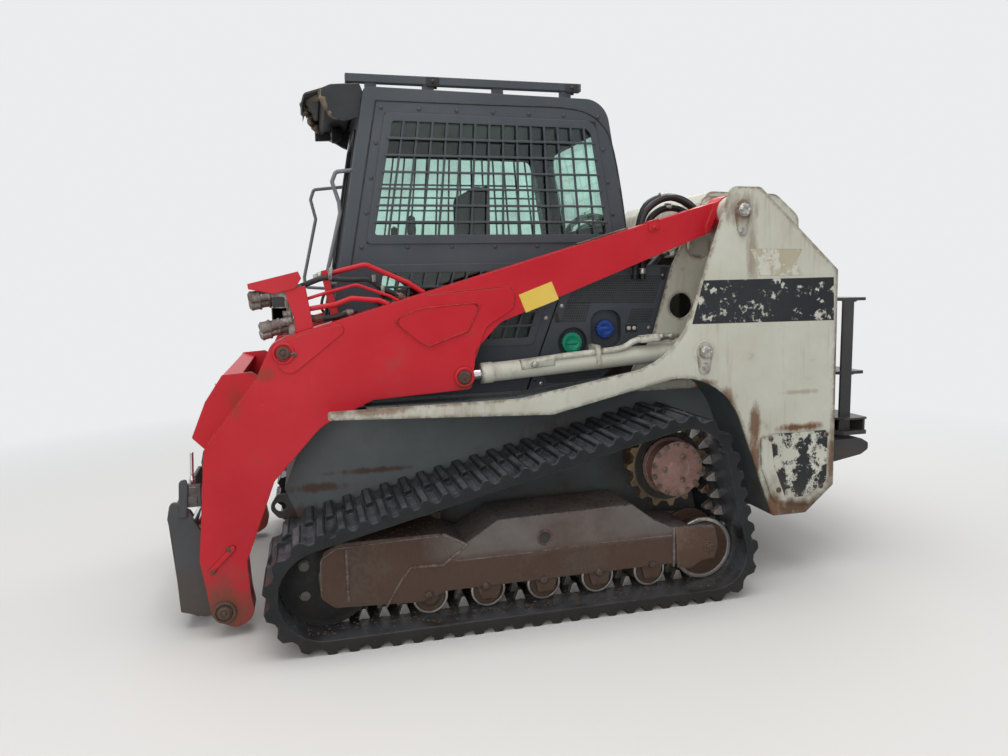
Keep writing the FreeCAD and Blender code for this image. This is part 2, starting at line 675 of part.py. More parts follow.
front_hole = pad("cab_front_hole", "front", [door_way], "700", "1100")
node("cab_front", cut("cab_front_cut", front_blank, front_hole))
# The front door lies in the frame and rolls up under the roof; it has no joint here
door_band = [("1056.5", "1020"), ("835.1", "2250"), ("799.1", "2250"), ("1020.5", "1020")]
door_light = [("-350", "1090", 40), ("350", "1090", 40), ("350", "2190", 40),
              ("-350", "2190", 40)]
door_face = inset(door_way)
door_blank = common("front_door_blank", [
    pad("front_door_band", "side", [door_band], "-400", "400"),
    pad("front_door_face", "front", [door_face], "700", "1100")])
door_hole = pad("front_door_hole", "front", [door_light], "700", "1100")
node("front_door", cut("front_door_cut", door_blank, door_hole))

# Glass: one pane in the door, two a side, one behind
pane_band = [("1044", "1034"), ("828", "2234"), ("822", "2234"), ("1038", "1034")]
panes = [common("front_pane", [
    pad("front_pane_band", "side", [pane_band], "-400", "400"),
    pad("front_pane_face", "front", [inset(door_light)], "700", "1100")])]
for i, window in enumerate((upper_window, lower_window)):
    pane = pad("side_pane_%d" % i, "side", [inset(window)], "cab_half - 18",
               "cab_half - 18 + glass_thick")
    panes += [pane, mirrored("side_pane_mirror_%d" % i, pane)]
back_pane = [("cab_back_x - 18", "2220"), ("cab_heel_x + 35", "1740"),
             ("cab_heel_x + 41", "1740"), ("cab_back_x - 12", "2220")]
panes.append(common("back_pane", [
    pad("back_pane_band", "side", [back_pane], "-400", "400"),
    pad("back_pane_face", "front", [inset(back_window)], "-600", "-250")]))
node("cab_glass", group("cab_panes", panes))

# Window guards: a frame of flat bar with a welded grid, on the outside of each side window
guard_edge = [("836", "1660", 20), ("733", "2233", 30), ("-257", "2226", 66),
              ("-352", "1660", 25)]
guard_hole = [("796", "1700", 10), ("700", "2197", 15), ("-230", "2190", 45),
              ("-311", "1700", 12)]
guard_frame = pad("guard_frame", "side", [guard_edge, guard_hole], "cab_half",
                  "cab_half + 6")
low_edge = [("812", "1569", 20), ("-66", "1569", 20), ("66", "1178", 20), ("882", "1178", 20)]
low_hole = [("766", "1530", 10), ("-12", "1530", 10), ("92", "1217", 10), ("826", "1217", 10)]
low_bars = [pad("low_guard_frame", "side", [low_edge, low_hole], "cab_half",
                "cab_half + guard_bar")]
for i in range(11):
    share = (i + 1) / 12
    low_x, high_x = 98 + 731 * share, -19 + 781 * share
    low_bars.append(pad("low_bar_%d" % i, "side", [[
        ("%d" % (low_x - 5), "1200"), ("%d" % (low_x + 5), "1200"), ("%d" % (high_x + 5), "1550"),
        ("%d" % (high_x - 5), "1550")]], "cab_half", "cab_half + guard_bar"))
for i in range(4):
    high = 1274 + 64 * i
    low_bars.append(box("low_row_%d" % i, ("%d" % (82 - 0.32 * (high - 1200)),
                                           "cab_half + guard_bar - 1", "%d" % (high - 5)),
                        ("%d" % (845 - 0.18 * (high - 1200)), "cab_half + guard_bar + 5",
                         "%d" % (high + 5))))
bars = [guard_frame]
for i in range(14):
    share = (i + 1) / 15
    low_x = -329 + 1141 * share
    high_x = -262 + 974 * share
    bars.append(pad("guard_bar_%d" % i, "side", [[
        ("%.1f" % (low_x - 5), "1690"), ("%.1f" % (low_x + 5), "1690"),
        ("%.1f" % (high_x + 5), "2205"), ("%.1f" % (high_x - 5), "2205")]],
        "cab_half", "cab_half + 6"))
for i in range(6):
    high = 1757 + 73 * i
    share = (high - 1684) / 528
    bars.append(pad("guard_row_%d" % i, "side", [[
        ("%.1f" % (-325 + 85 * share), "%d" % (high - 5)), ("%.1f" % (810 - 100 * share),
                                                           "%d" % (high - 5)),
        ("%.1f" % (810 - 100 * share), "%d" % (high + 5)), ("%.1f" % (-325 + 85 * share),
                                                           "%d" % (high + 5))]],
        "cab_half + 5", "cab_half + 11"))
both_in_one("window_guards", group("guard_pair", [fuse("window_guard", bars),
                                                  fuse("low_window_guard", low_bars)]))

# Visor: a moulded hood over the front door; its left cheek and front edge are broken off
cheek_top = [("821", "2325"), ("835", "2360", 8), ("960", "2350", 60)]
cheek_root = [("905", "2200"), ("868", "2208"), ("841.5", "2215")]
broken_cheek = cheek_top + [("1012", "2326"), ("992", "2258", 15), ("958", "2212")] + cheek_root
far_cheek = cheek_top + [("1075", "2312", 30), ("1089", "2262"), ("1060", "2270", 15),
                         ("940", "2276", 15), ("905", "2262"), ("868", "2240"),
                         ("841.5", "2230")]
brow = [("821", "2325"), ("835", "2360", 8), ("960", "2350", 60), ("1075", "2312", 30),
        ("1089", "2260"), ("1081", "2257"), ("1068", "2304", 24), ("958", "2341", 55),
        ("838", "2351"), ("829", "2325")]
tear = [("1200", "340"), ("1099", "300"), ("1072", "205"), ("1080", "90"), ("1046", "-20"),
        ("1056", "-140"), ("1022", "-245"), ("1034", "-350"), ("1008", "-480"), ("1200", "-480")]
node("visor", cut("visor_torn", fuse("visor_shell", [
    pad("visor_cheek_left", "side", [broken_cheek], "450", "470"),
    pad("visor_cheek_right", "side", [far_cheek], "-470", "-450"),
    pad("visor_brow", "side", [brow], "-451", "451")]),
    pad("visor_tear", "flat", [tear], "2100", "2400")))

# Roof rails on their brackets
rails_left = [box("roof_rail", ("-199", "430", "2366"), ("894", "470", "2400"))]
for i, x in enumerate(("-150", "180", "503", "760")):
    rails_left.append(box("rail_foot_%d" % i, (x, "435", "2318"), (x + " + 50", "465", "2370")))
roof_tool = pad("roof_tool", "side", [[("cab_brow_x + 60", "2200"),
                                       ("cab_brow_x", "cab_top_z + 0.3"),
                                       ("-200", "cab_top_z - 13.7"), ("-260", "2200")]],
                "400", "500")
both_in_one("roof_rails", cut("roof_rail_set", fuse("roof_rail_blank", rails_left), roof_tool))

# Grab handles on the front posts
handles = []
for name, side, places in (
        ("near", "455", (("0", "1990"), ("82", "1979"), ("92", "1936"), ("49", "1846"),
                                ("38", "1800"), ("59", "1540"), ("50", "1490"),
                                ("0", "1484"))),
        ("far", "-455", (("0", "2028"), ("170", "2010"), ("180", "1956"), ("138", "1850"),
                                 ("158", "1530"), ("146", "1474"), ("0", "1462")))):
    fall = worth("cab_foot_x - cab_brow_x") / worth("cab_top_z - cab_floor_z")
    route = [("cab_brow_x + %.1f" % (fall * (worth("cab_top_z") - float(z)) + float(out) - 12),
              side, z) for out, z in places]
    handles.append(bent_tube(name + "_handle", route, "9", "20"))
post_tool = pad("post_tool", "side", [[("cab_foot_x - 9.7", "985"), ("cab_brow_x + 11.3", "2280"),
                                       ("700", "2280"), ("700", "985")]], "-500", "500")
node("grab_handles", cut("grab_handles_cut", group("grab_handle_pair", handles), post_tool))

# Seat and the two consoles, one piece each on the floor
seat_parts = [pad("seat_base", "side", [[("260", "985"), ("640", "985"), ("610", "1300"),
                                         ("290", "1300")]], "-170", "170"),
              pad("seat_cushion", "side", [[("240", "1295", 30), ("760", "1310", 50),
                                            ("750", "1420", 40), ("330", "1400", 30),
                                            ("300", "1990", 50), ("190", "1980", 50)]],
                  "-245", "245")]
node("seat", fuse("seat_body", seat_parts))
console = [("240", "1290"), ("330", "1285"), ("620", "1520", 20), ("650", "1580", 20),
           ("600", "1600", 20), ("230", "1540", 30)]
console_left = [pad("console_box", "side", [console], "300", "400"),
                box("console_leg", ("260", "310", "985"), ("330", "390", "1400")),
                rod("lever_stem", ("610", "350", "1580"), "z", "9", "130"),
                turned("lever_grip", [("0", "0"), ("0", "16"), ("40", "22"), ("100", "18"),
                                      ("112", "0")], ("610", "350", "1690"), Vector(0, 0, 1))]
both_in_one("control_consoles", fuse("console_left", console_left))

# Engine as one plain block, and the cooler behind it
node("engine", box("engine_block", ("-1150", "-260", "belly_z + chassis_plate"),
                   ("-350", "260", "1150")))
cooler_half = "chassis_half - chassis_plate"
node("cooler", fuse("cooler_set", [
    box("cooler_core", ("-1330", "-465", "480"), ("-1210", "465", "1480")),
    box("cooler_mount", ("-1310", minus(cooler_half), "480"), ("-1230", cooler_half, "900"))]))

# Side panels behind the cab, with recesses for the filler caps
panel_edge = [("93", "960"), ("-73", "1400"), ("-140", "1560"), ("-660", "1548"),
              ("-560", "1210", 60), ("-224", "960")]
cap_recess = ("-137", "1180", "75")
tank_recess = [("-390", "1148", 60), ("-230", "1148", 60), ("-230", "1334", 60),
               ("-390", "1334", 60)]
panel_out, panel_in = "cab_half", "cab_half - 15"
pan_out, pan_in = "cab_half - 10", "cab_half - 55"
panel_parts = [pad("side_panel_sheet", "side", [panel_edge, cap_recess, tank_recess],
                   panel_in, panel_out),
               cut("cap_pan", rod("cap_pan_out", ("-137", pan_in, "1180"), "y", "82", "45"),
                   rod("cap_pan_room", ("-137", pan_in + " + 8", "1180"), "y", "75", "45")),
               cut("tank_pan", box("tank_pan_out", ("-398", pan_in, "1140"),
                                   ("-222", pan_out, "1342")),
                   pad("tank_pan_room", "side", [tank_recess], pan_in + " + 8",
                       pan_out + " + 5"))]
both_in_one("side_panels", fuse("side_panel", panel_parts))
caps = [turned(name, [("0", "0"), ("0", "24"), ("14", "24"), ("14", size), ("38", size),
                      ("38", "0")], (x, pan_in + " + 8", z), Vector(0, 1, 0))
        for name, x, z, size in (("fuel_cap", "-137", "1180", "48"),
                                 ("additive_cap", "-310", "1241", "42"))]
node("filler_caps", group("filler_cap_pair", caps))

# Work lamps: two under the visor
lamps = []
for i, y in enumerate(("330", "-330")):
    lamp = turned("lamp_%d" % i, [("-30", "0"), ("-30", "28"), ("0", "46"), ("22", "50"),
                                  ("26", "44"), ("26", "0")], ("905", y, "2290"),
                  Vector(1, 0, 0))
    foot = box("lamp_foot_%d" % i, ("893", y + " - 12", "2300"), ("917", y + " + 12", "2345"))
    lamps.append(fuse("lamp_set_%d" % i, [lamp, foot]))
cab_tool = pad("lamp_tool", "side", [[
    ("829.5", "2200"), ("829.5", "2325"), ("838.5", "2350.4"), ("958", "2340.4", 55),
    ("1067.5", "2303.4", 24), ("1100", "2400"), ("820", "2400"), ("700", "2337.3"),
    ("700", "2200")]], "-450", "450")
node("work_lamps", cut("work_lamp_set", group("lamp_blanks", lamps), cab_tool))

# Hose arches: two hoses a side from the side panel to the tower's inner sheet
hose_y = "cab_half + 14.3"
outer_run = (("-456", "1480"), ("-458", "1800"), ("-590", "1888"), ("-760", "1862"),
             ("-812", "1770"))
inner_run = (("-496", "1480"), ("-498", "1740"), ("-600", "1832"), ("-735", "1815"),
             ("-775", "1745"))
hoses = [bent_tube("hose_arch_%d" % i, [(x, hose_y, z) for x, z in run], "14", "70")
         for i, run in enumerate((outer_run, inner_run))]
both_in_one("hose_arches", group("hose_arch_set", hoses))

# Bumper under the rear door
bumper = [("tower_back_x", "625"), ("-1690", "625", 20), ("guard_back_x", "600", 15),
          ("guard_back_x", "565", 15), ("-1690", "540", 30), ("tower_back_x", "490")]
node("bumper_rear", pad("bumper_block", "side", [bumper], minus("bumper_half"), "bumper_half"))

# Arms: box beams from the tower pins to the coupler pins, open where the rod eyes swing
arm_edge = [("pivot_x + 39", "pivot_z + 57"), ("1198", "1272", 40), ("1260", "1240", 60),
            ("1330", "1094"), ("1549", "819", 80), ("coupler_pin_x + 85", "344"),
            ("coupler_pin_x + 50", "coupler_pin_z - 25", 50),
            ("coupler_pin_x - 47", "coupler_pin_z - 83", 60),
            ("coupler_pin_x - 125", "coupler_pin_z - 29", 60),
            ("coupler_pin_x - 110", "coupler_pin_z + 65"), ("coupler_pin_x - 103", "322"),
            ("1276", "662"), ("1069", "888", 200), ("847", "986"), ("413", "1010", 20),
            ("388", "1184", 50), ("273", "1302", 60), ("pivot_x + 112", "pivot_z - 98")]
tilt_patch = [("tilt_foot_x - 326", "tilt_foot_z + 137", 22),
              ("tilt_foot_x + 37", "tilt_foot_z + 43", 45),
              ("tilt_foot_x + 14", "tilt_foot_z - 129", 50)]
lift_patch = [("lift_eye_x - 80", "lift_eye_z + 325", 22), ("lift_eye_x + 190",
                                                           "lift_eye_z + 308", 60),
              ("lift_eye_x + 308", "lift_eye_z + 261", 30),
              ("lift_eye_x + 166", "lift_eye_z + 143", 40),
              ("lift_eye_x - 22", "lift_eye_z + 203", 20)]
# The knee plate lies on the boom and ends in a round tongue; the root plate ends slanted
boom_face = [("-790", "1950"), ("-775", "1815"), ("-735", "1720"), ("-760", "1500"),
             ("200", "1100"), ("300", "1100"), ("392", "1150"), ("340", "1284", 60),
             ("212", "1362", 30), ("206", "1461", 40), ("604", "1429"), ("640", "1560")]
gusset = [("1300", "1085"), ("1350", "1120", 20), ("1470", "1112", 10), ("1545", "1000"),
          ("1607", "850", 10), ("1572", "812", 10), ("1540", "780"), ("1500", "800")]
inner_ear = [("tilt_foot_x - 75", "tilt_foot_z + 58"), ("tilt_foot_x + 20",
                                                        "tilt_foot_z + 58", 20),
             ("tilt_foot_x + 48", "tilt_foot_z - 20", 40), ("tilt_foot_x - 10",
                                                           "tilt_foot_z - 52", 40),
             ("tilt_foot_x - 75", "tilt_foot_z - 20", 10)]
ear_in, ear_out = "tilt_mid - 0.5*tilt_eye_wide - 26", "tilt_mid - 0.5*tilt_eye_wide - 14"
arm_parts = [pad("arm_beam", "side", [arm_edge], arm_inner, "arm_outer"),
             rod("arm_root", ("pivot_x", arm_inner, "pivot_z"), "y", "arm_root_radius",
                 "arm_wide"),
             pad("tilt_patch", "side", [tilt_patch], "arm_outer - 1", "arm_outer + 5"),
             pad("lift_patch", "side", [lift_patch], "arm_outer - 1", "arm_outer + 5"),
             rod("lift_pin_ring", ("lift_eye_x", "arm_outer - 1", "lift_eye_z"), "y", "36", "6"),
             rod("coupler_pin_ring", ("coupler_pin_x", "arm_outer - 1", "coupler_pin_z"), "y",
                 "42", "6"),
             pad("cross_gusset", "side", [gusset], arm_inner + " - 15", arm_inner),
             pad("inner_ear", "side", [inner_ear], ear_in, ear_out),
             box("ear_back", ("tilt_foot_x - 75", ear_in, "tilt_foot_z - 18"),
                 ("tilt_foot_x - 61", arm_inner, "tilt_foot_z + 58")),
             rod("tilt_boss_out", ("tilt_foot_x", "tilt_mid + 0.5*tilt_eye_wide + 1",
                                   "tilt_foot_z"), "y", "44",
                 arm_inner + " - tilt_mid - 0.5*tilt_eye_wide - 1"),
             rod("tilt_boss_in", ("tilt_foot_x", ear_out, "tilt_foot_z"), "y", "40", "13")]
arm_tools = [pad("boom_step", "side", [boom_face], "arm_outer - arm_step", "arm_outer + 10"),
             box("lift_eye_room", ("300", arm_inner + " + arm_plate", "900"),
                 ("540", "arm_outer - arm_plate", "1180")),
             rod("arm_pivot_bore", ("pivot_x", arm_inner + " - 5", "pivot_z"), "y",
                 "main_pin_radius + pin_play", "arm_wide + 10"),
             rod("tilt_pin_bore", ("tilt_foot_x", ear_in + " - 5", "tilt_foot_z"), "y",
                 "small_pin_radius", "arm_outer - tilt_mid + 120"),
             rod("coupler_pin_bore", ("coupler_pin_x", arm_inner + " - 5", "coupler_pin_z"),
                 "y", "main_pin_radius", "arm_wide + 14"),
             rod("lift_pin_bore_out", ("lift_eye_x", "arm_outer - arm_plate - 2",
                                       "lift_eye_z"), "y", "small_pin_radius", "40"),
             rod("lift_pin_bore_in", ("lift_eye_x", arm_inner + " - 5", "lift_eye_z"), "y",
                 "small_pin_radius", "arm_plate + 8")]
both_in_one("arms", cut("arm_welded", fuse("arm_blank", arm_parts),
                        fuse("arm_rooms", arm_tools)))

# Arm pins: the tilt foot and coupler pins are whole; the lift eye's pin shows as two ends
arm_pins = [rod("tilt_pin", ("tilt_foot_x", ear_in + " - 4", "tilt_foot_z"), "y",
                "small_pin_radius", "arm_outer - tilt_mid + 0.5*tilt_eye_wide + 44"),
            rod("coupler_pin", ("coupler_pin_x", arm_inner + " - 40", "coupler_pin_z"), "y",
                "main_pin_radius", "arm_wide + 52"),
            rod("lift_pin_out", ("lift_eye_x", "arm_outer - arm_plate", "lift_eye_z"), "y",
                "small_pin_radius", "arm_plate + 14"),
            rod("lift_pin_in", ("lift_eye_x", arm_inner + " - 4", "lift_eye_z"), "y",
                "small_pin_radius", "arm_plate + 4")]
both_in_one("arm_pins", group("arm_pin_set", arm_pins))

# Cross member between the arms: one bent box ahead of the tilt cylinders
cross_edge = [("1406", "1090"), ("1470", "1110", 10), ("1545", "1000"), ("1605", "850", 10),
              ("1570", "815", 10), ("1520", "840"), ("1461", "960")]
cross_room = [("1422", "1086"), ("1462", "1098"), ("1533", "996"), ("1590", "854"),
              ("1568", "832"), ("1533", "850"), ("1475", "964")]
cross_half = arm_inner + " - 15"
node("arm_cross", pad("arm_cross_box", "side", [cross_edge, cross_room], minus(cross_half),
                      cross_half))

# Hydraulic couplers on their valve block, and the red pipes with their bracket and post
aux_parts = [box("aux_block", ("1165", "585", "1340"), ("1245", "660", "1462")),
             box("aux_foot", ("1110", "600", "1268"), ("1185", "660", "1345"))]
QUICKS = (("high_out", "1205", "640", "1456", 22), ("high_in", "1205", "592", "1424", 22),
          ("low_out", "1170", "650", "1341", 39), ("low_in", "1172", "598", "1310", 39))
for label, x, y, z, fall in QUICKS:
    aux_parts.append(turned("quick_" + label, [
        ("0", "0"), ("0", "20"), ("90", "20"), ("90", "24"), ("130", "24"), ("138", "15"),
        ("138", "0")], (x, y, z), Vector(150, 0, -fall)))
arm_top = pad("arm_top_tool", "side", [[("1100", "1100"), ("1260", "1100"), ("1260", "1240.3", 60),
                                        ("1198", "1272.3", 40), ("1100", "1300.3")]], "560",
              "700")
node("aux_couplers", cut("aux_set", fuse("aux_blank", aux_parts), arm_top))
pipe_runs = [("11", "600", (("1030", "1524"), ("1014", "1529"), ("852", "1568"),
                            ("667", "1485"), ("540", "1400"))),
             ("7", "636", (("1162", "1412"), ("1098", "1428"), ("1004", "1455"),
                           ("895", "1482"), ("749", "1427"), ("690", "1390"))),
             ("11", "654", (("1162", "1370"), ("1087", "1385"), ("986", "1400"),
                            ("921", "1424"), ("800", "1412"), ("700", "1360")))]
pipes = [bent_tube("arm_pipe_%d" % i, [(x, y, z) for x, z in run], size, "45")
         for i, (size, y, run) in enumerate(pipe_runs)]
bracket_side = [("1195", "1462"), ("1108", "1482"), ("1084", "1310"), ("1092", "1290"),
                ("1160", "1270"), ("1160", "1345")]
bracket_top = [("1338", "1493"), ("1135", "1541"), ("1123", "1512"), ("1150", "1470"),
               ("1238", "1450"), ("1336", "1471")]
bracket_lid = [("1338", "1493"), ("1135", "1541"), ("1134", "1535"), ("1337", "1487")]
pipe_parts = [pad("bracket_side", "side", [bracket_side], "672", "680"),
              pad("bracket_top", "side", [bracket_top], "680", "686"),
              pad("bracket_lid", "side", [bracket_lid], "590", "686"),
              pad("pipe_post", "side", [[("1016", "1548"), ("1042", "1542"), ("1002", "1310"),
                                         ("966", "1320")]], "613", "623")]
top_tool = pad("top_tool", "side", [[("pivot_x + 39", "pivot_z + 57.3"), ("1198", "1272.3"),
                                     ("1198", "1000"), ("pivot_x + 39", "1000")]], "560",
               "702")
node("arm_pipes", cut("arm_pipe_set", group("arm_pipe_blanks", [fuse("bracket", pipe_parts[:3]),
                                                                pipe_parts[3]] + pipes),
                      top_tool))


def cylinder(name, foot, eye, middle, eye_size, wide, barrel, rod_size, barrel_long, rest_in):
    """A barrel and a rod on the line from foot to eye; rest_in is the piston's place."""
    line = Vector(worth(eye[0]) - worth(foot[0]), 0, worth(eye[1]) - worth(foot[1]))
    reach = "%.4f" % line.Length
    low = middle + " - 0.5*" + wide
    bore = rod_size + " + rod_play"
    spot = (foot[0], middle, foot[1])
    tube = turned(name + "_tube", [
        ("24", "0"), ("24", "26"), ("52", "29"), ("72", barrel),
        (barrel_long + " - 55", barrel),
        (barrel_long + " - 55", barrel + " + 4"), (barrel_long, barrel + " + 4"),
        (barrel_long, "0")], spot, line)
    blank = fuse(name + "_barrel_blank", [
        tube, rod(name + "_foot_eye", (foot[0], low, foot[1]), "y", eye_size, wide)])
    room = turned(name + "_room", [("56", "0"), ("56", bore), (barrel_long + " + 5", bore),
                                   (barrel_long + " + 5", "0")], spot, line)
    hole = rod(name + "_foot_bore", (foot[0], low + " - 5", foot[1]), "y",
               "small_pin_radius + pin_play", wide + " + 10")
    both_sides(name + "_barrel", cut(name + "_barrel_cut", blank,
                                     fuse(name + "_rooms", [room, hole])))
    bar = turned(name + "_bar", [(rest_in, "0"), (rest_in, rod_size), (reach + " - 20",
                                                                       rod_size),
                                 (reach + " - 20", "0")], spot, line)
    eye_boss = rod(name + "_rod_eye", (eye[0], low, eye[1]), "y", eye_size, wide)
    both_sides(name + "_rod", fuse(name + "_rod_welded", [bar, eye_boss]))


cylinder("lift", ("lift_foot_x", "lift_foot_z"), ("lift_eye_x", "lift_eye_z"), "lift_mid",
         "lift_eye_radius", "eye_wide", "lift_barrel_radius", "lift_rod_radius",
         "lift_barrel_long", "60")
cylinder("tilt", ("tilt_foot_x", "tilt_foot_z"), ("tilt_eye_x", "tilt_eye_z"), "tilt_mid",
         "tilt_eye_radius", "tilt_eye_wide", "tilt_barrel_radius", "tilt_rod_radius",
         "tilt_barrel_long", "165")

# Coupler: side plates and ears on a face frame, windows where the rod eyes swing
coupler_side = [("coupler_pin_x - 50", "coupler_pin_z + 10", 30),
                ("coupler_pin_x - 5", "coupler_pin_z - 56", 30), ("1607", "51", 20),
                ("coupler_front - 29", "83"), ("coupler_front - 16", "412"),
                ("coupler_front - 2", "502"), ("coupler_front - 17", "575", 20),
                ("1660", "560", 20), ("1590", "420", 80)]
coupler_ear = [("tilt_eye_x - 55", "tilt_eye_z - 60", 30), ("coupler_front - 22",
                                                            "tilt_eye_z - 90"),
               ("coupler_front - 4", "502"), ("tilt_eye_x + 10", "tilt_eye_z + 90", 30)]
coupler_face = [("coupler_front - 29", "83"), ("coupler_front", "502"),
                ("coupler_front - 16", "503"), ("coupler_front - 45", "84")]
low_lip = [("coupler_front - 29", "83"), ("coupler_front - 45", "84"), ("1630", "62"),
           ("1634", "46")]
face_holes = [[("-360", "180", 30), ("360", "180", 30), ("360", "430", 30),
               ("-360", "430", 30)],
              [("430", "300", 15), ("550", "300", 15), ("550", "530"), ("430", "530")],
              [("-550", "300", 15), ("-430", "300", 15), ("-430", "530"), ("-550", "530")]]
face_tools = [pad("face_hole_%d" % i, "front", [hole], "1600", "1800")
              for i, hole in enumerate(face_holes)]
face = cut("coupler_face_open",
           pad("coupler_face", "side", [coupler_face], "coupler_plate - coupler_half",
               "coupler_half - coupler_plate"), fuse("face_holes", face_tools))
side_plate = pad("coupler_side", "side", [coupler_side], "coupler_half - coupler_plate",
                 "coupler_half")
ear_plate = pad("coupler_ear", "side", [coupler_ear], "410", "425")
coupler_blank = fuse("coupler_blank", [
    face, pad("coupler_lip", "side", [low_lip], "coupler_plate - coupler_half",
              "coupler_half - coupler_plate"),
    side_plate, mirrored("coupler_side_mirror", side_plate), ear_plate,
    mirrored("coupler_ear_mirror", ear_plate),
    rod("coupler_tube", ("1640", minus("coupler_half") + " + 1", "110"), "y", "34",
        "2*coupler_half - 2")])
coupler_bores = [rod("coupler_bore_%d" % i, ("coupler_pin_x", low, "coupler_pin_z"), "y",
                     "main_pin_radius + pin_play", "60")
                 for i, low in enumerate(("-590", "530"))]
node("coupler_frame", cut("coupler_welded", coupler_blank,
                          fuse("coupler_bores", coupler_bores)))
both_in_one("lock_levers", fuse("lock_lever_set", [
    pad("lock_lever_bar", "side", [[("1650", "505"), ("1636", "640"), ("1642", "676", 10),
                                    ("1672", "660", 10), ("1682", "505")]], "573.3", "583"),
    rod("lever_knob", ("1657", "573.3", "655"), "y", "14", "9.5")]))

# Rear door: louvred panel with its guard, hung at the right on two hinges
louvres = [[("-400", "%d" % (800 + 70 * i), 8), ("400", "%d" % (800 + 70 * i), 8),
            ("400", "%d" % (824 + 70 * i), 8), ("-400", "%d" % (824 + 70 * i), 8)]
           for i in range(8)]
panel_outline = [(minus("door_half"), "door_low_z", 30), ("door_half", "door_low_z", 30),
                 ("door_half", "door_high_z", 60), (minus("door_half"), "door_high_z", 60)]
door_room = [("20 - door_half", "door_low_z + 20", 20), ("door_half - 20",
                                                         "door_low_z + 20", 20),
             ("door_half - 20", "door_high_z - 20", 50), ("20 - door_half",
                                                          "door_high_z - 20", 50)]
door_blank = cut("door_shell", pad("door_slab", "front", [panel_outline], "door_back_x",
                                   "door_front_x"),
                 pad("door_room", "front", [door_room], "door_back_x + 10",
                     "door_front_x + 5"))
door_open = cut("door_louvred", door_blank,
                pad("door_louvres", "front", louvres, "door_back_x - 5",
                    "door_back_x + 15"))
guard = []
for i, (z, thick, end) in enumerate((("645", "20", "guard_half + 40"),
                                     ("725", "10", "guard_half + 40"),
                                     ("962", "16", "guard_half"), ("1348", "16", "guard_half"))):
    shelf = [("guard_back_x", minus("guard_half"), 12), ("guard_back_x", end, 12),
             ("post_back_x + 64", end), ("door_back_x + 2", "guard_half - 90"),
             ("door_back_x + 2", "90 - guard_half"), ("post_back_x + 64", minus("guard_half"))]
    guard.append(pad("guard_shelf_%d" % i, "flat", [shelf], z, z + " + " + thick))
guard += [box("guard_post_%d" % i, ("post_back_x", y, "645"), ("post_back_x + 64", y + " + 14",
                                                             "1364"))
          for i, y in enumerate((minus("guard_half"), "-7", "guard_half - 14"))]
guard.append(box("guard_low_plate", ("guard_back_x", "20 - guard_half", "650"),
                 ("guard_back_x + 12", "guard_half + 20", "730")))
straps = [box("door_strap_%d" % i, ("hinge_x - 8", "hinge_y", z), ("hinge_x + 8",
                                                                 "8 - door_half", z + " + 40"))
          for i, z in enumerate(("800.5", "1330.5"))]
straps += [rod("door_knuckle_%d" % i, ("hinge_x", "hinge_y", z), "z", "16", "40")
           for i, z in enumerate(("800.5", "1330.5"))]
hinge_bores = [rod("hinge_bore_%d" % i, ("hinge_x", "hinge_y", z), "z", "8.1", "60")
               for i, z in enumerate(("790", "1320"))]
node("rear_door", cut("rear_door_hung", fuse("rear_door_welded", [door_open] + guard + straps),
                      fuse("hinge_bores", hinge_bores)))
hinges = []
for i, z in enumerate(("760", "1290")):
    hinges.append(fuse("door_hinge_%d" % i, [
        rod("hinge_pin_%d" % i, ("hinge_x", "hinge_y", z), "z", "8", "84"),
        rod("hinge_knuckle_%d" % i, ("hinge_x", "hinge_y", z), "z", "16", "40"),
        box("hinge_plate_%d" % i, ("hinge_x", "hinge_y - 16", z),
            ("tower_back_x", "hinge_y", z + " + 40"))]))
node("door_hinges", group("door_hinge_pair", hinges))

# Hood: a pressed cover that tips up at the back
hood_edge = [("-748", "1592"), ("-760", "1630"), ("-820", "1850"),
             ("-870", "1910", 40), ("-1250", "1900", 60), ("-1385", "1790", 60),
             ("-1400", "1520"), ("-1380", "1510")]
hood_room = [("-760", "1560"), ("-772", "1640"), ("-832", "1845"),
             ("-875", "1896", 30), ("-1246", "1886", 50), ("-1373", "1782", 50),
             ("-1388", "1490")]
hood_shell = cut("hood_shell", pad("hood_block", "side", [hood_edge], minus("hood_half"),
                                   "hood_half"),
                 pad("hood_room", "side", [hood_room], "12 - hood_half",
                     "hood_half - 12"))
straps = []
hinges = [box("hood_beam", ("-650", "15 - cab_half", "1500"), ("-610", "cab_half - 15", "1545"))]
hinge_bores = []
for i, y in enumerate(("-380", "300")):
    hinges += [rod("hood_pin_%d" % i, ("hood_hinge_x", y, "hood_hinge_z"), "y", "8", "82"),
               rod("hood_knuckle_%d" % i, ("hood_hinge_x", y, "hood_hinge_z"), "y", "14", "40"),
               pad("hood_arm_%d" % i, "side", [[("hood_hinge_x - 5", "hood_hinge_z - 12"),
                                                ("hood_hinge_x + 8", "hood_hinge_z + 12"),
                                                ("-612", "1544"), ("-648", "1544")]],
                   y, y + " + 40")]
    straps += [rod("hood_sleeve_%d" % i, ("hood_hinge_x", y + " + 40.5", "hood_hinge_z"), "y",
                   "14", "39.5"),
               pad("hood_strap_%d" % i, "side", [[("-764", "1640"), ("-766", "1655"),
                                                  ("hood_hinge_x", "hood_hinge_z + 14"),
                                                  ("hood_hinge_x", "hood_hinge_z - 4")]],
                   y + " + 40.5", y + " + 80")]
    hinge_bores.append(rod("hood_bore_%d" % i, ("hood_hinge_x", y + " + 20", "hood_hinge_z"),
                           "y", "8.1", "70"))
node("hood_hinges", fuse("hood_hinge_set", hinges))
node("hood", cut("hood_hung", fuse("hood_welded", [hood_shell] + straps),
                 fuse("hood_bores", hinge_bores)))

doc.recompute()

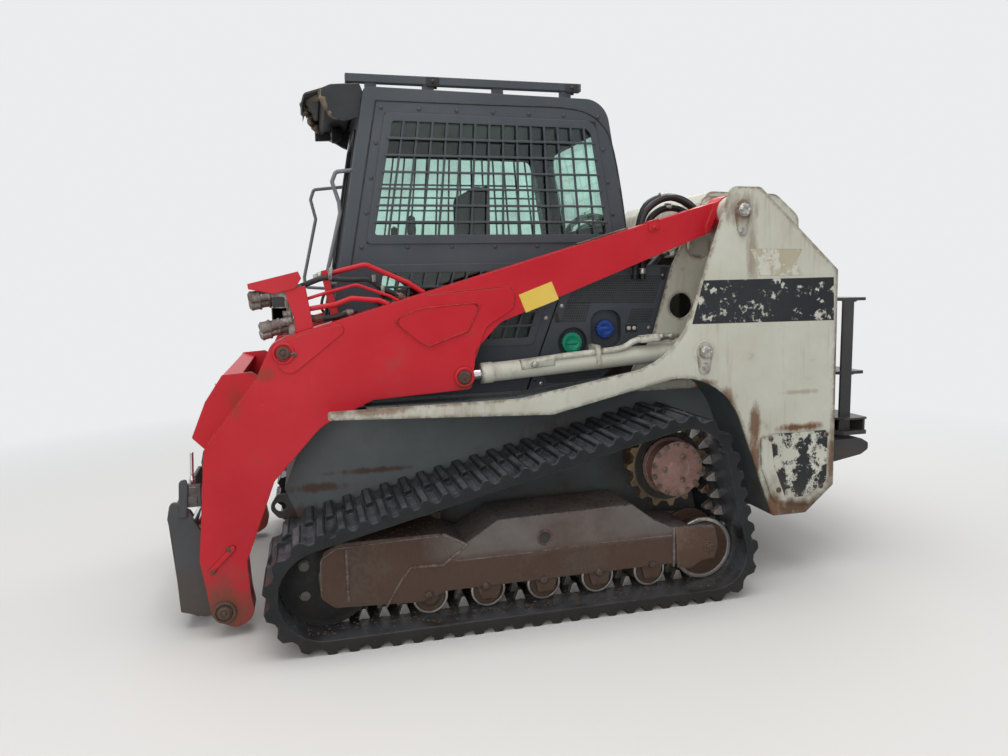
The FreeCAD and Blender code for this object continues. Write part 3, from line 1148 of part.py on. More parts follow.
# Nothing is written unless every object is sound
unsound = [thing.Name for thing in doc.Objects
           if "Invalid" in thing.State or "Error" in thing.State]
if unsound:
    raise RuntimeError("failed: " + ", ".join(unsound))
os.makedirs("parts", exist_ok=True)
for piece in nodes:
    if piece.Shape.isNull() or not piece.Shape.isValid():
        raise RuntimeError("bad shape: " + piece.Label)
    piece.Shape.exportStep("parts/" + piece.Label + ".step")
print("nodes", len(nodes))
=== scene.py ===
import math

import bmesh
import bpy
from mathutils import Matrix, Vector, noise


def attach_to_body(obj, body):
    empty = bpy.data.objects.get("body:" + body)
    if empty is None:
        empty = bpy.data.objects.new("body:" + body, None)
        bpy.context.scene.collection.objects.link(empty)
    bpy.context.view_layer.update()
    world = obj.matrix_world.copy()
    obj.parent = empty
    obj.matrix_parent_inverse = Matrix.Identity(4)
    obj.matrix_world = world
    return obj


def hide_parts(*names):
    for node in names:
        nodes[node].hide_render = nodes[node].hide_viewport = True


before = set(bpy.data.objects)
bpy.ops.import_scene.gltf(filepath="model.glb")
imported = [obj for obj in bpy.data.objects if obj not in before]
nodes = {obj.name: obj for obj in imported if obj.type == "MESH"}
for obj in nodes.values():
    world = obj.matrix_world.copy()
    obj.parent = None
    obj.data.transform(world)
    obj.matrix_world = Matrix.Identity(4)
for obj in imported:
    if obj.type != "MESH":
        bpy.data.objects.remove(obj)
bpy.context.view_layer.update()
scene = bpy.context.scene
scene.view_settings.view_transform = "Standard"
print("frame loaded:", len(nodes), "nodes")


def addObject(name, data):
    made = bpy.data.objects.new(name, data)
    scene.collection.objects.link(made)
    return made


# camera, set at the height and distance that the photograph was taken from

cameraSpot = {
    "place": (1.111, 3.973, 1.478),
    "right": (-0.96728, 0.25292, -0.02003),
    "up": (-0.05089, -0.11608, 0.99194),
    "back": (0.24855, 0.96050, 0.12515),
    "lens": 27.04,
    "sensor": 36.0,
}


def makeCamera(spot):
    data = bpy.data.cameras.new("photoCamera")
    data.lens, data.sensor_width, data.sensor_fit = spot["lens"], spot["sensor"], "HORIZONTAL"
    scene.camera = addObject("photoCamera", data)
    turn = Matrix((spot["right"], spot["up"], spot["back"])).transposed().to_4x4()
    scene.camera.matrix_world = Matrix.Translation(spot["place"]) @ turn


makeCamera(cameraSpot)
print("camera placed")


# node helpers, for materials and Geometry Nodes alike

def feed(tree, target, source):
    # a socket is linked, a value is set, None leaves the default
    if hasattr(source, "is_output"):
        tree.links.new(source, target)
    elif source is not None:
        target.default_value = source


def addNode(tree, kind, inputs=(), **settings):
    made = tree.nodes.new(kind)
    for key, value in settings.items():
        setattr(made, key, value)
    for key, value in dict(inputs).items():
        feed(tree, made.inputs[key], value)
    return made


def math2(tree, operation, *values, clamp=False):
    made = addNode(tree, "ShaderNodeMath", enumerate(values), operation=operation, use_clamp=clamp)
    return made.outputs[0]


def times(tree, first, *others):
    for other in others:
        first = math2(tree, "MULTIPLY", first, other)
    return first


def mixColour(tree, factor, *colours):
    colours = [(*c, 1.0) if isinstance(c, tuple) else c for c in colours]
    return addNode(tree, "ShaderNodeMix", zip((0, 6, 7), (factor, *colours)),
                   data_type="RGBA").outputs[2]


def ramp(tree, value, low, high):
    return addNode(tree, "ShaderNodeMapRange", {"Value": value, "From Min": low,
                                                "From Max": high}).outputs["Result"]


def noiseAt(tree, vector, scale, detail, rough=0.55):
    return addNode(tree, "ShaderNodeTexNoise", {"Vector": vector, "Scale": scale, "Detail": detail,
                                                "Roughness": rough}).outputs["Fac"]


def objectPlace(tree):
    return addNode(tree, "ShaderNodeTexCoord").outputs["Object"]


def axesOf(tree, vector):
    return addNode(tree, "ShaderNodeSeparateXYZ", {0: vector}).outputs


def mapped(tree, vector, scale, turn=0.0):
    return addNode(tree, "ShaderNodeMapping", {"Vector": vector, "Scale": scale,
                                               "Rotation": (0.0, turn, 0.0)}).outputs[0]


# the shared effects, each a shader group that ends in a mask times its Amount

def newGroup(name, extra=None, **inputs):
    tree = bpy.data.node_groups.new(name, "ShaderNodeTree")
    for label, value in inputs.items():
        made = tree.interface.new_socket(label, in_out="INPUT", socket_type="NodeSocketFloat")
        made.default_value = value
    for label, kind in [("Mask", "Float")] + ([extra] if extra else []):
        tree.interface.new_socket(label, in_out="OUTPUT", socket_type="NodeSocket" + kind)
    start, end = tree.nodes.new("NodeGroupInput"), tree.nodes.new("NodeGroupOutput")
    return tree, start.outputs, end.inputs


def endGroup(tree, given, end, mask, extra=None):
    feed(tree, end["Mask"], math2(tree, "MULTIPLY", mask, given["Amount"], clamp=True))
    if extra:
        feed(tree, end[1], extra)
    return tree


def buildEdgeWear():
    # bare edges: where a softened normal leaves the true one
    tree, given, end = newGroup("edgeWear", ("Normal", "Vector"), Radius=0.006, Breakup=40.0,
                                Amount=1.0)
    bevel = addNode(tree, "ShaderNodeBevel", {"Radius": given["Radius"]}, samples=4).outputs[0]
    plain = addNode(tree, "ShaderNodeNewGeometry").outputs["Normal"]
    across = addNode(tree, "ShaderNodeVectorMath", {0: bevel, 1: plain}, operation="DOT_PRODUCT")
    edge = ramp(tree, math2(tree, "SUBTRACT", 1.0, across.outputs["Value"]), 0.02, 0.18)
    broken = noiseAt(tree, objectPlace(tree), given["Breakup"], 5.0, 0.7)
    return endGroup(tree, given, end, times(tree, edge, ramp(tree, broken, 0.42, 0.62)), bevel)


def buildMud():
    # splashed soil: thick near the ground, thin specks above
    tree, given, end = newGroup("mudSplash", ("Tone", "Float"), Height=0.5, Amount=1.0, Scale=6.0)
    place = objectPlace(tree)
    rise = math2(tree, "DIVIDE", axesOf(tree, place)["Z"], given["Height"])
    low = math2(tree, "SUBTRACT", 1.0, rise, clamp=True)
    blotch = noiseAt(tree, place, given["Scale"], 7.0, 0.65)
    fine = noiseAt(tree, place, 85.0, 4.0, 0.7)
    body = ramp(tree, math2(tree, "ADD", blotch, times(tree, low, 0.55)), 0.62, 0.86)
    specks = times(tree, ramp(tree, fine, 0.62, 0.72), 0.55, ramp(tree, blotch, 0.4, 0.65))
    return endGroup(tree, given, end, math2(tree, "MAXIMUM", body, specks), fine)


def buildStreaks():
    # rust and dirt that ran down, stretched along the vertical
    tree, given, end = newGroup("runStreaks", Scale=9.0, Amount=1.0, Cover=0.5)
    place = objectPlace(tree)
    thin = noiseAt(tree, mapped(tree, place, (1.0, 1.0, 0.09)), times(tree, given["Scale"], 3.0),
                   6.0, 0.7)
    patch = noiseAt(tree, place, times(tree, given["Scale"], 0.35), 3.0, 0.5)
    runs = ramp(tree, math2(tree, "ADD", thin, times(tree, patch, 0.35)), 0.72, 0.95)
    return endGroup(tree, given, end, times(tree, runs, given["Cover"]))


def buildScratches():
    # long fine scrapes, mostly level
    tree, given, end = newGroup("scrapes", Scale=14.0, Amount=1.0)
    place = objectPlace(tree)
    marks = [ramp(tree, noiseAt(tree, mapped(tree, place, stretch, turn), given["Scale"], 9.0,
                                0.75), 0.68, 0.73)
             for turn, stretch in ((0.25, (0.25, 1.0, 5.0)), (-0.9, (0.3, 1.0, 6.0)))]
    patch = ramp(tree, noiseAt(tree, place, 2.3, 2.0), 0.45, 0.65)
    return endGroup(tree, given, end, times(tree, math2(tree, "MAXIMUM", *marks), patch))


def buildStain():
    # one rusty or dirty place on a side, broken up and drawn downwards
    tree, given, end = newGroup("stainSpot", X=0.0, Z=0.0, Wide=0.1, Tall=0.1, Amount=1.0)
    place = objectPlace(tree)
    parts = []
    for axis, size in (("X", "Wide"), ("Z", "Tall")):
        away = math2(tree, "SUBTRACT", axesOf(tree, place)[axis], given[axis])
        away = math2(tree, "DIVIDE", away, given[size])
        parts.append(times(tree, away, away))
    near = math2(tree, "SUBTRACT", 1.0, math2(tree, "SQRT", math2(tree, "ADD", *parts)))
    broken = noiseAt(tree, mapped(tree, place, (1.0, 1.0, 0.35)), 22.0, 7.0, 0.72)
    both = ramp(tree, math2(tree, "ADD", near, times(tree, broken, 1.5)), 1.0, 1.45)
    return endGroup(tree, given, end, times(tree, both, ramp(tree, near, 0.0, 0.25)))


edgeWear = buildEdgeWear()
stainSpot = buildStain()
mudSplash = buildMud()
runStreaks = buildStreaks()
scrapes = buildScratches()


def useGroup(tree, group, **values):
    return addNode(tree, "ShaderNodeGroup", values, node_tree=group).outputs


# finishes: one function for paint, one for bare and rusty metal, one for rubber and plastics

finishes = {}
mudColour = (0.115, 0.078, 0.052)
rustColour = (0.145, 0.048, 0.018)


def startMaterial(name, gloss=0.5):
    finishes[name] = bpy.data.materials.new(name)
    finishes[name].use_nodes = True
    tree = finishes[name].node_tree
    tree.nodes.clear()
    surface = addNode(tree, "ShaderNodeBsdfPrincipled", {"Specular IOR Level": gloss})
    addNode(tree, "ShaderNodeOutputMaterial", {"Surface": surface.outputs[0]})
    return tree, surface


def muddied(tree, colour, look, height, amount, scale, soil):
    # soil over a colour: its own colour, or a share that darkens it in places
    mud = useGroup(tree, mudSplash, Height=look.get("mudHeight", height),
                   Amount=look.get("mud", amount), Scale=look.get("mudScale", scale))
    if isinstance(soil, float):
        soil = mixColour(tree, mud["Tone"], tuple(soil * c for c in mudColour), mudColour)
    return mud, mixColour(tree, mud["Mask"], colour, soil)


def dress(tree, surface, worn, height, bump, distance, *values):
    for label, value in zip(("Base Color", "Roughness", "Metallic"), values):
        feed(tree, surface.inputs[label], value)
    relief = addNode(tree, "ShaderNodeBump", {"Strength": bump, "Distance": distance,
                                              "Height": height, "Normal": worn["Normal"]})
    feed(tree, surface.inputs["Normal"], relief.outputs[0])


def makePaint(name, look):
    tree, surface = startMaterial(name, 0.28)
    get, place = look.get, objectPlace(tree)
    cloudy = noiseAt(tree, place, 3.0, 5.0, 0.6)
    colour = mixColour(tree, ramp(tree, cloudy, 0.3, 0.7), look["colour"], look["faded"])
    if "flakes" in look:  # paint or foil lost in patches
        patch = noiseAt(tree, place, get("flakeScale", 24.0), 8.0, 0.72)
        edge = 1.0 - look["flakes"]
        colour = mixColour(tree, ramp(tree, patch, edge - 0.02, edge + 0.02), colour,
                           look["flakeColour"])
    marks = [(useGroup(tree, scrapes, Amount=get("scrapes", 0.5)), "under", (0.30, 0.27, 0.24)),
             (useGroup(tree, runStreaks, Amount=get("streaks", 0.4)), "streakColour", rustColour)]
    for x, z, wide, tall, amount in get("stains", ()):
        marks.append((useGroup(tree, stainSpot, X=x, Z=z, Wide=wide, Tall=tall, Amount=amount),
                      "stainColour", rustColour))
    for mark, tone, plain in marks:
        colour = mixColour(tree, mark["Mask"], colour, get(tone, plain))
    worn = useGroup(tree, edgeWear, Radius=get("edge", 0.006), Amount=get("wear", 1.0),
                    Breakup=get("breakup", 40.0))
    bare = mixColour(tree, ramp(tree, cloudy, 0.45, 0.55), get("bare", (0.20, 0.12, 0.08)),
                     rustColour)
    colour = mixColour(tree, worn["Mask"], colour, bare)
    mud, colour = muddied(tree, colour, look, 0.7, 0.8, 6.0, 0.7)
    rough = math2(tree, "MULTIPLY_ADD", mud["Mask"], 0.45, get("roughness", 0.42))
    rough = math2(tree, "ADD", rough, times(tree, cloudy, 0.12), clamp=True)
    height = math2(tree, "ADD", times(tree, mud["Mask"], 0.8), times(tree, mud["Tone"], 0.3))
    dress(tree, surface, worn, height, 0.25, 0.002, colour, rough)


# a stain is its x, z, width, height and strength, in metres

paintLooks = {
    "redPaint": {
        "colour": (0.47, 0.008, 0.018), "faded": (0.54, 0.018, 0.030), "mudHeight": 0.42,
        "mud": 0.6, "scrapes": 1.0, "under": (0.62, 0.24, 0.23), "streaks": 0.12,
        "roughness": 0.30, "wear": 0.9,
        "stains": ((1.50, 0.10, 0.13, 0.17, 0.8), (1.30, 1.12, 0.10, 0.05, 0.5),
                   (1.42, 1.00, 0.06, 0.10, 0.35), (0.43, 1.02, 0.10, 0.05, 0.4))},
    "whitePaint": {
        "colour": (0.60, 0.60, 0.52), "faded": (0.49, 0.48, 0.40), "mudHeight": 0.62, "mud": 0.7,
        "scrapes": 0.6, "under": (0.24, 0.19, 0.14), "streaks": 0.6, "roughness": 0.38,
        "wear": 1.7, "edge": 0.030, "breakup": 22.0, "bare": (0.13, 0.06, 0.03),
        "stainColour": (0.16, 0.075, 0.035),
        "stains": ((-0.864, 1.79, 0.12, 0.13, 0.6), (-0.92, 1.60, 0.045, 0.26, 0.5),
                   (-1.20, 0.745, 0.22, 0.035, 1.0), (-0.96, 0.58, 0.05, 0.22, 0.9),
                   (-1.39, 0.60, 0.035, 0.30, 0.9), (-1.20, 0.345, 0.30, 0.07, 1.0),
                   (-0.95, 0.78, 0.050, 0.16, 0.9), (-0.80, 0.91, 0.07, 0.09, 0.8),
                   (-0.66, 0.99, 0.12, 0.03, 0.8), (-1.40, 1.05, 0.022, 0.45, 0.7),
                   (0.85, 0.95, 0.25, 0.03, 0.7), (-1.06, 0.36, 0.09, 0.12, 0.9),
                   (-1.20, 0.92, 0.16, 0.02, 0.35))},
    "cabPaint": {
        "colour": (0.050, 0.059, 0.070), "faded": (0.070, 0.080, 0.092), "mudHeight": 0.9,
        "mud": 0.2, "scrapes": 0.2, "under": (0.25, 0.25, 0.25), "streaks": 0.1,
        "streakColour": (0.16, 0.15, 0.14), "wear": 0.35, "bare": (0.20, 0.20, 0.20)},
    "chassisPaint": {
        "colour": (0.125, 0.143, 0.148), "faded": (0.090, 0.103, 0.106), "mudHeight": 0.62,
        "scrapes": 0.3, "streaks": 0.35, "mudScale": 4.0, "stainColour": (0.075, 0.040, 0.026),
        "stains": ((1.10, 0.575, 0.22, 0.034, 0.9), (0.84, 0.635, 0.30, 0.024, 0.9),
                   (1.18, 0.44, 0.14, 0.10, 0.8), (-0.10, 0.72, 0.35, 0.16, 0.6))},
    "handlePaint": {
        "colour": (0.13, 0.14, 0.15), "faded": (0.19, 0.20, 0.21), "mud": 0.15, "scrapes": 0.8,
        "under": (0.32, 0.31, 0.30), "streaks": 0.1, "roughness": 0.35, "wear": 0.9,
        "bare": (0.3, 0.29, 0.28)},
    "couplerPaint": {
        "colour": (0.070, 0.080, 0.086), "faded": (0.045, 0.052, 0.056), "mudHeight": 0.4,
        "mud": 0.5, "scrapes": 0.8, "under": (0.22, 0.20, 0.18), "streaks": 0.5, "roughness": 0.4,
        "edge": 0.012},
    "labelYellow": {
        "colour": (0.72, 0.46, 0.03), "faded": (0.78, 0.58, 0.16), "mud": 0.35, "scrapes": 0.9,
        "under": (0.70, 0.68, 0.60), "streaks": 0.1, "flakes": 0.30,
        "flakeColour": (0.70, 0.68, 0.60), "roughness": 0.4, "wear": 0.4},
    "labelWhite": {
        "colour": (0.66, 0.66, 0.62), "faded": (0.52, 0.51, 0.46), "mud": 0.3, "streaks": 0.1,
        "roughness": 0.4, "wear": 0.3},
    "tanFoil": {
        "colour": (0.50, 0.47, 0.36), "faded": (0.42, 0.37, 0.26), "mud": 0.3, "scrapes": 0.6,
        "under": (0.62, 0.61, 0.54), "flakes": 0.50, "flakeColour": (0.60, 0.60, 0.52),
        "flakeScale": 12.0, "wear": 0.2},
    "coverWorn": {
        "colour": (0.60, 0.60, 0.52), "faded": (0.46, 0.45, 0.38), "mud": 0.5, "scrapes": 0.7,
        "under": (0.2, 0.17, 0.14), "streaks": 0.5, "flakes": 0.51,
        "flakeColour": (0.020, 0.022, 0.026), "flakeScale": 11.0, "wear": 0.6,
        "bare": (0.13, 0.06, 0.03)},
    "bandBlack": {
        "colour": (0.016, 0.018, 0.022), "faded": (0.030, 0.033, 0.038), "mud": 0.2,
        "scrapes": 1.0, "under": (0.50, 0.50, 0.45), "streaks": 0.15, "flakes": 0.42,
        "flakeColour": (0.56, 0.56, 0.50), "flakeScale": 16.0, "roughness": 0.4, "wear": 0.3,
        "bare": (0.5, 0.5, 0.45)},
    "driedSoil": {
        "colour": (0.100, 0.078, 0.058), "faded": (0.066, 0.052, 0.040), "mud": 1.0,
        "roughness": 0.85, "wear": 0.0, "scrapes": 0.0, "streaks": 0.0},
    "redLens": {
        "colour": (0.30, 0.008, 0.006), "faded": (0.36, 0.014, 0.010), "mud": 0.3,
        "roughness": 0.2, "wear": 0.0, "scrapes": 0.1, "streaks": 0.0},
    "darkPaint": {
        "colour": (0.040, 0.042, 0.045), "faded": (0.062, 0.062, 0.062), "mudHeight": 0.8,
        "scrapes": 0.4, "under": (0.18, 0.16, 0.14), "streaks": 0.35, "roughness": 0.5,
        "wear": 0.9},
}


def makeMetal(name, look):
    # bare metal under rust, with polished places kept bright
    tree, surface = startMaterial(name)
    get, place = look.get, objectPlace(tree)
    broad = noiseAt(tree, place, get("broad", 5.0), 6.0, 0.65)
    fine = noiseAt(tree, place, 60.0, 6.0, 0.7)
    rust = ramp(tree, math2(tree, "ADD", broad, times(tree, fine, 0.35)),
                get("rustFrom", 0.55), get("rustTo", 0.75))
    rusty = mixColour(tree, fine, get("rust", rustColour), get("rustDark", (0.05, 0.028, 0.02)))
    colour = mixColour(tree, rust, look["colour"], rusty)
    where = axesOf(tree, place)
    if "upper" in look:  # a rubbed, paler band from two heights on, behind an X
        low, high, front, tone = look["upper"]
        band = times(tree, ramp(tree, where["Z"], low, high),
                     ramp(tree, where["X"], front + 0.09, front - 0.09),
                     ramp(tree, broad, 0.75, 0.35))
        colour = mixColour(tree, band, colour, tone)
    for x, z, radius, other in get("zones", ()):
        # another colour further out than a radius from a point of the side view
        away = [math2(tree, "SUBTRACT", where[axis], value) for axis, value in (("X", x), ("Z", z))]
        away = math2(tree, "ADD", *[times(tree, part, part) for part in away])
        zone = mixColour(tree, ramp(tree, rust, 0.2, 0.9), other, tuple(0.5 * c for c in other))
        colour = mixColour(tree, math2(tree, "GREATER_THAN", away, radius * radius), colour, zone)
    worn = useGroup(tree, edgeWear, Radius=get("edge", 0.005), Amount=get("shine", 0.8))
    colour = mixColour(tree, worn["Mask"], colour, get("bright", (0.45, 0.44, 0.42)))
    mud, colour = muddied(tree, colour, look, 0.7, 0.5, 6.0, 0.6)
    dull = math2(tree, "MAXIMUM", rust, mud["Mask"])
    metal = times(tree, math2(tree, "SUBTRACT", 1.0, dull, clamp=True), get("metal", 0.8))
    rough = math2(tree, "MULTIPLY_ADD", dull, 0.45, get("roughness", 0.35))
    dress(tree, surface, worn, math2(tree, "ADD", rust, fine), get("bump", 0.35), 0.002, colour,
          rough, metal)


metalLooks = {
    "rustySteel": {
        "colour": (0.13, 0.115, 0.10), "rustFrom": 0.42, "rustTo": 0.68,
        "rust": (0.10, 0.045, 0.026), "mud": 0.6, "mudHeight": 0.8},
    "idlerSteel": {
        "colour": (0.11, 0.062, 0.040), "rustFrom": 0.42, "rustTo": 0.68,
        "rust": (0.085, 0.040, 0.024), "mud": 0.05, "mudHeight": 0.5, "metal": 0.4,
        "zones": ((-0.655, 0.210, 1.0, (0.010, 0.010, 0.011)),)},
    "frameSteel": {
        "colour": (0.105, 0.092, 0.084), "rustFrom": 0.38, "rustTo": 0.66,
        "rust": (0.078, 0.034, 0.021), "rustDark": (0.034, 0.018, 0.012), "mud": 0.35,
        "mudHeight": 0.55, "mudScale": 4.0, "roughness": 0.36, "edge": 0.016,
        "bright": (0.24, 0.225, 0.21), "broad": 3.2,
        "upper": (0.29, 0.33, 0.61, (0.155, 0.142, 0.135))},
    "rubbedSteel": {
        "colour": (0.21, 0.195, 0.18), "rustFrom": 0.5, "rustTo": 0.72,
        "rust": (0.11, 0.055, 0.035), "mud": 0.4, "mudHeight": 0.5, "metal": 0.7},
    "forkSteel": {
        "colour": (0.16, 0.105, 0.080), "rustFrom": 0.45, "rustTo": 0.7,
        "rust": (0.11, 0.050, 0.030), "mudHeight": 0.5, "metal": 0.4},
    "hubSteel": {
        "colour": (0.23, 0.125, 0.105), "rustFrom": 0.5, "rustTo": 0.8,
        "rust": (0.19, 0.085, 0.06), "mud": 0.3, "metal": 0.2,
        "zones": ((-0.501, 0.613, 0.132, (0.018, 0.015, 0.012)),
                  (-0.501, 0.613, 0.168, (0.17, 0.115, 0.055)))},
    "fittingSteel": {
        "colour": (0.30, 0.29, 0.275), "rustFrom": 0.56, "rustTo": 0.76, "mud": 0.3,
        "metal": 0.85, "roughness": 0.36},
    "chromeRod": {
        "colour": (0.72, 0.72, 0.73), "rustFrom": 0.86, "rustTo": 0.98, "mud": 0.06,
        "metal": 1.0, "roughness": 0.14, "bump": 0.03, "mudHeight": 0.5},
    "platedSteel": {
        "colour": (0.44, 0.43, 0.40), "rustFrom": 0.66, "rustTo": 0.85, "mud": 0.15,
        "metal": 0.95, "roughness": 0.3, "bump": 0.12},
    "guideSteel": {
        "colour": (0.50, 0.49, 0.47), "rustFrom": 0.66, "rustTo": 0.84, "mud": 0.25,
        "mudHeight": 0.4, "metal": 0.9, "roughness": 0.28, "shine": 1.0},
    "castIron": {
        "colour": (0.10, 0.10, 0.10), "rustFrom": 0.7, "rustTo": 0.9, "mud": 0.2, "metal": 0.3,
        "roughness": 0.6},
    "coolerFins": {
        "colour": (0.22, 0.22, 0.22), "rustFrom": 0.8, "rustTo": 0.95, "mud": 0.3, "metal": 0.7,
        "roughness": 0.5},
}


def makeSoft(name, look):
    # rubber and plastics: dull, dusty on top, scuffed pale at the edges
    tree, surface = startMaterial(name, 0.3)
    get, place = look.get, objectPlace(tree)
    broad = noiseAt(tree, place, 7.0, 5.0, 0.6)
    fine = noiseAt(tree, place, get("fine", 140.0), 3.0, 0.7)
    colour = mixColour(tree, ramp(tree, broad, 0.35, 0.65), look["colour"], look["faded"])
    if "tread" in look:  # the faces that don't look sideways
        facing = axesOf(tree, addNode(tree, "ShaderNodeNewGeometry").outputs["Normal"])
        flat = times(tree, ramp(tree, math2(tree, "ABSOLUTE", facing["Y"]), 0.7, 0.5),
                     ramp(tree, broad, 0.3, 0.55))
        colour = mixColour(tree, flat, colour, look["tread"])
    if "split" in look:  # another colour behind this X
        behind = math2(tree, "LESS_THAN", axesOf(tree, place)["X"], look["split"])
        colour = mixColour(tree, behind, colour, look["other"])
    worn = useGroup(tree, edgeWear, Radius=get("edge", 0.006), Amount=get("wear", 0.6),
                    Breakup=25.0)
    colour = mixColour(tree, worn["Mask"], colour, get("scuff", (0.13, 0.12, 0.11)))
    mud, colour = muddied(tree, colour, look, 0.4, 0.5, 8.0, get("soil", mudColour))
    rough = math2(tree, "MULTIPLY_ADD", mud["Mask"], 0.3, get("roughness", 0.55))
    dress(tree, surface, worn, fine, get("bump", 0.2), 0.001, colour, rough)


softLooks = {
    "trackRubber": {
        "colour": (0.006, 0.007, 0.008), "faded": (0.014, 0.015, 0.017),
        "scuff": (0.10, 0.098, 0.095), "wear": 0.5, "edge": 0.010, "mud": 0.12,
        "mudHeight": 0.2, "roughness": 0.27, "soil": (0.075, 0.055, 0.040),
        "tread": (0.060, 0.065, 0.073)},
    "lugRubber": {
        "colour": (0.006, 0.006, 0.007), "faded": (0.014, 0.014, 0.015),
        "scuff": (0.10, 0.095, 0.09), "wear": 0.7, "edge": 0.008, "mud": 0.15,
        "mudHeight": 0.2, "roughness": 0.42, "soil": (0.075, 0.055, 0.040)},
    "blackPlastic": {
        "colour": (0.014, 0.014, 0.015), "faded": (0.028, 0.028, 0.029), "mud": 0.15,
        "roughness": 0.5},
    "visorPlastic": {
        "colour": (0.012, 0.014, 0.017), "faded": (0.022, 0.025, 0.029),
        "scuff": (0.24, 0.20, 0.15), "wear": 0.9, "edge": 0.009, "mud": 0.2, "roughness": 0.4},
    "tornFoam": {
        "colour": (0.15, 0.115, 0.080), "faded": (0.24, 0.20, 0.15), "fine": 90.0, "bump": 0.8,
        "mud": 0.4, "mudHeight": 3.0, "roughness": 0.9},
    "hoseRubber": {
        "colour": (0.010, 0.010, 0.011), "faded": (0.022, 0.022, 0.023), "mud": 0.3,
        "mudHeight": 0.6, "roughness": 0.42},
    "seatFabric": {
        "colour": (0.020, 0.021, 0.023), "faded": (0.035, 0.036, 0.038), "mud": 0.05,
        "roughness": 0.85, "fine": 320.0, "bump": 0.5},
    "lampBody": {"colour": (0.02, 0.02, 0.02), "faded": (0.04, 0.04, 0.04), "mud": 0.1},
    "fillerCaps": {
        "colour": (0.006, 0.30, 0.15), "faded": (0.01, 0.36, 0.20), "mud": 0.1, "split": -0.22,
        "other": (0.012, 0.065, 0.36), "roughness": 0.33, "scuff": (0.3, 0.45, 0.45)},
}


def makeGlass(name, look):
    tree, surface = startMaterial(name)
    surface.inputs["Transmission Weight"].default_value = 1.0
    surface.inputs["IOR"].default_value = 1.45
    smear = ramp(tree, noiseAt(tree, objectPlace(tree), 3.0, 6.0, 0.7), 0.42, 0.78)
    feed(tree, surface.inputs["Base Color"],
         mixColour(tree, times(tree, smear, look["dust"]), look["tint"], (0.42, 0.45, 0.42)))
    feed(tree, surface.inputs["Roughness"], math2(tree, "MULTIPLY_ADD", smear, 0.05, 0.0))


glassLooks = {"cabGlass": {"tint": (0.70, 0.90, 0.83), "dust": 0.6},
              "lampLens": {"tint": (0.86, 0.88, 0.86), "dust": 0.3}}
for make, looks in ((makePaint, paintLooks), (makeMetal, metalLooks), (makeSoft, softLooks),
                    (makeGlass, glassLooks)):
    for name, look in looks.items():
        make(name, look)
print("finishes made:", len(finishes))


# which finish each part of the frame wears

nodeFinish = {
    "redPaint": "arms arm_cross arm_pipes tilt_barrel_left tilt_barrel_right",
    "whitePaint": "towers hood lift_barrel_left lift_barrel_right tower_pins",
    "cabPaint": "cab_sides cab_roof cab_back cab_floor cab_front front_door window_guards "
                "side_panels roof_rails",
    "chassisPaint": "main_frame fenders",
    "darkPaint": "rear_door bumper_rear door_hinges hood_hinges",
    "handlePaint": "grab_handles",
    "couplerPaint": "coupler_frame lock_levers",
    "trackRubber": "track_left track_right",
    "rustySteel": "track_rollers arm_pins",
    "idlerSteel": "idlers",
    "hubSteel": "sprockets",
    "frameSteel": "track_frames",
    "chromeRod": "lift_rod_left lift_rod_right tilt_rod_left tilt_rod_right",
    "fittingSteel": "aux_couplers",
    "blackPlastic": "control_consoles",
    "fillerCaps": "filler_caps",
    "visorPlastic": "visor",
    "hoseRubber": "hose_arches",
    "seatFabric": "seat",
    "lampBody": "work_lamps",
    "castIron": "engine",
    "coolerFins": "cooler",
    "cabGlass": "cab_glass",
}
for finish, names in nodeFinish.items():
    for name in names.split():
        nodes[name].data.materials.clear()
        nodes[name].data.materials.append(finishes[finish])
print("frame dressed")


# mesh makers: a shape is its corners, in millimetres, and its faces

mm = 0.001


def slab(outline, low, high, across="y"):
    # an outline in the two other axes, thickened between two levels
    place = {"x": lambda a, b, c: (c, a, b), "y": lambda a, b, c: (a, c, b)}[across]
    count = len(outline)
    corners = [place(a, b, level) for level in (low, high) for a, b in outline]
    faces = [tuple(range(count)), tuple(range(count, 2 * count))]
    faces += [(i, (i + 1) % count, count + (i + 1) % count, count + i) for i in range(count)]
    return corners, faces


def brick(low, high):
    return slab([(low[0], low[2]), (high[0], low[2]), (high[0], high[2]), (low[0], high[2])],
                low[1], high[1])


def turned(profile, place, axis=(0, 1, 0), sides=24, ring=False):
    # a turned shape from steps of (along, radius), closed by caps or, as a ring, on itself
    spin = Vector(axis).to_track_quat("Z", "Y")
    angles = [math.tau * i / sides for i in range(sides)]
    corners = [Vector(place) + spin @ Vector((radius * math.cos(a), radius * math.sin(a), along))
               for along, radius in profile for a in angles]
    last = (len(profile) - 1) * sides
    faces = [(i + j, i + (j + 1) % sides, i + sides + (j + 1) % sides, i + sides + j)
             for i in range(0, last, sides) for j in range(sides)]
    if ring:
        faces += [(last + j, last + (j + 1) % sides, (j + 1) % sides, j) for j in range(sides)]
    else:
        faces += [tuple(range(sides)), tuple(range(last, last + sides))]
    return corners, faces


def hoop(profile, place, sides=32):
    return turned(profile, place, sides=sides, ring=True)


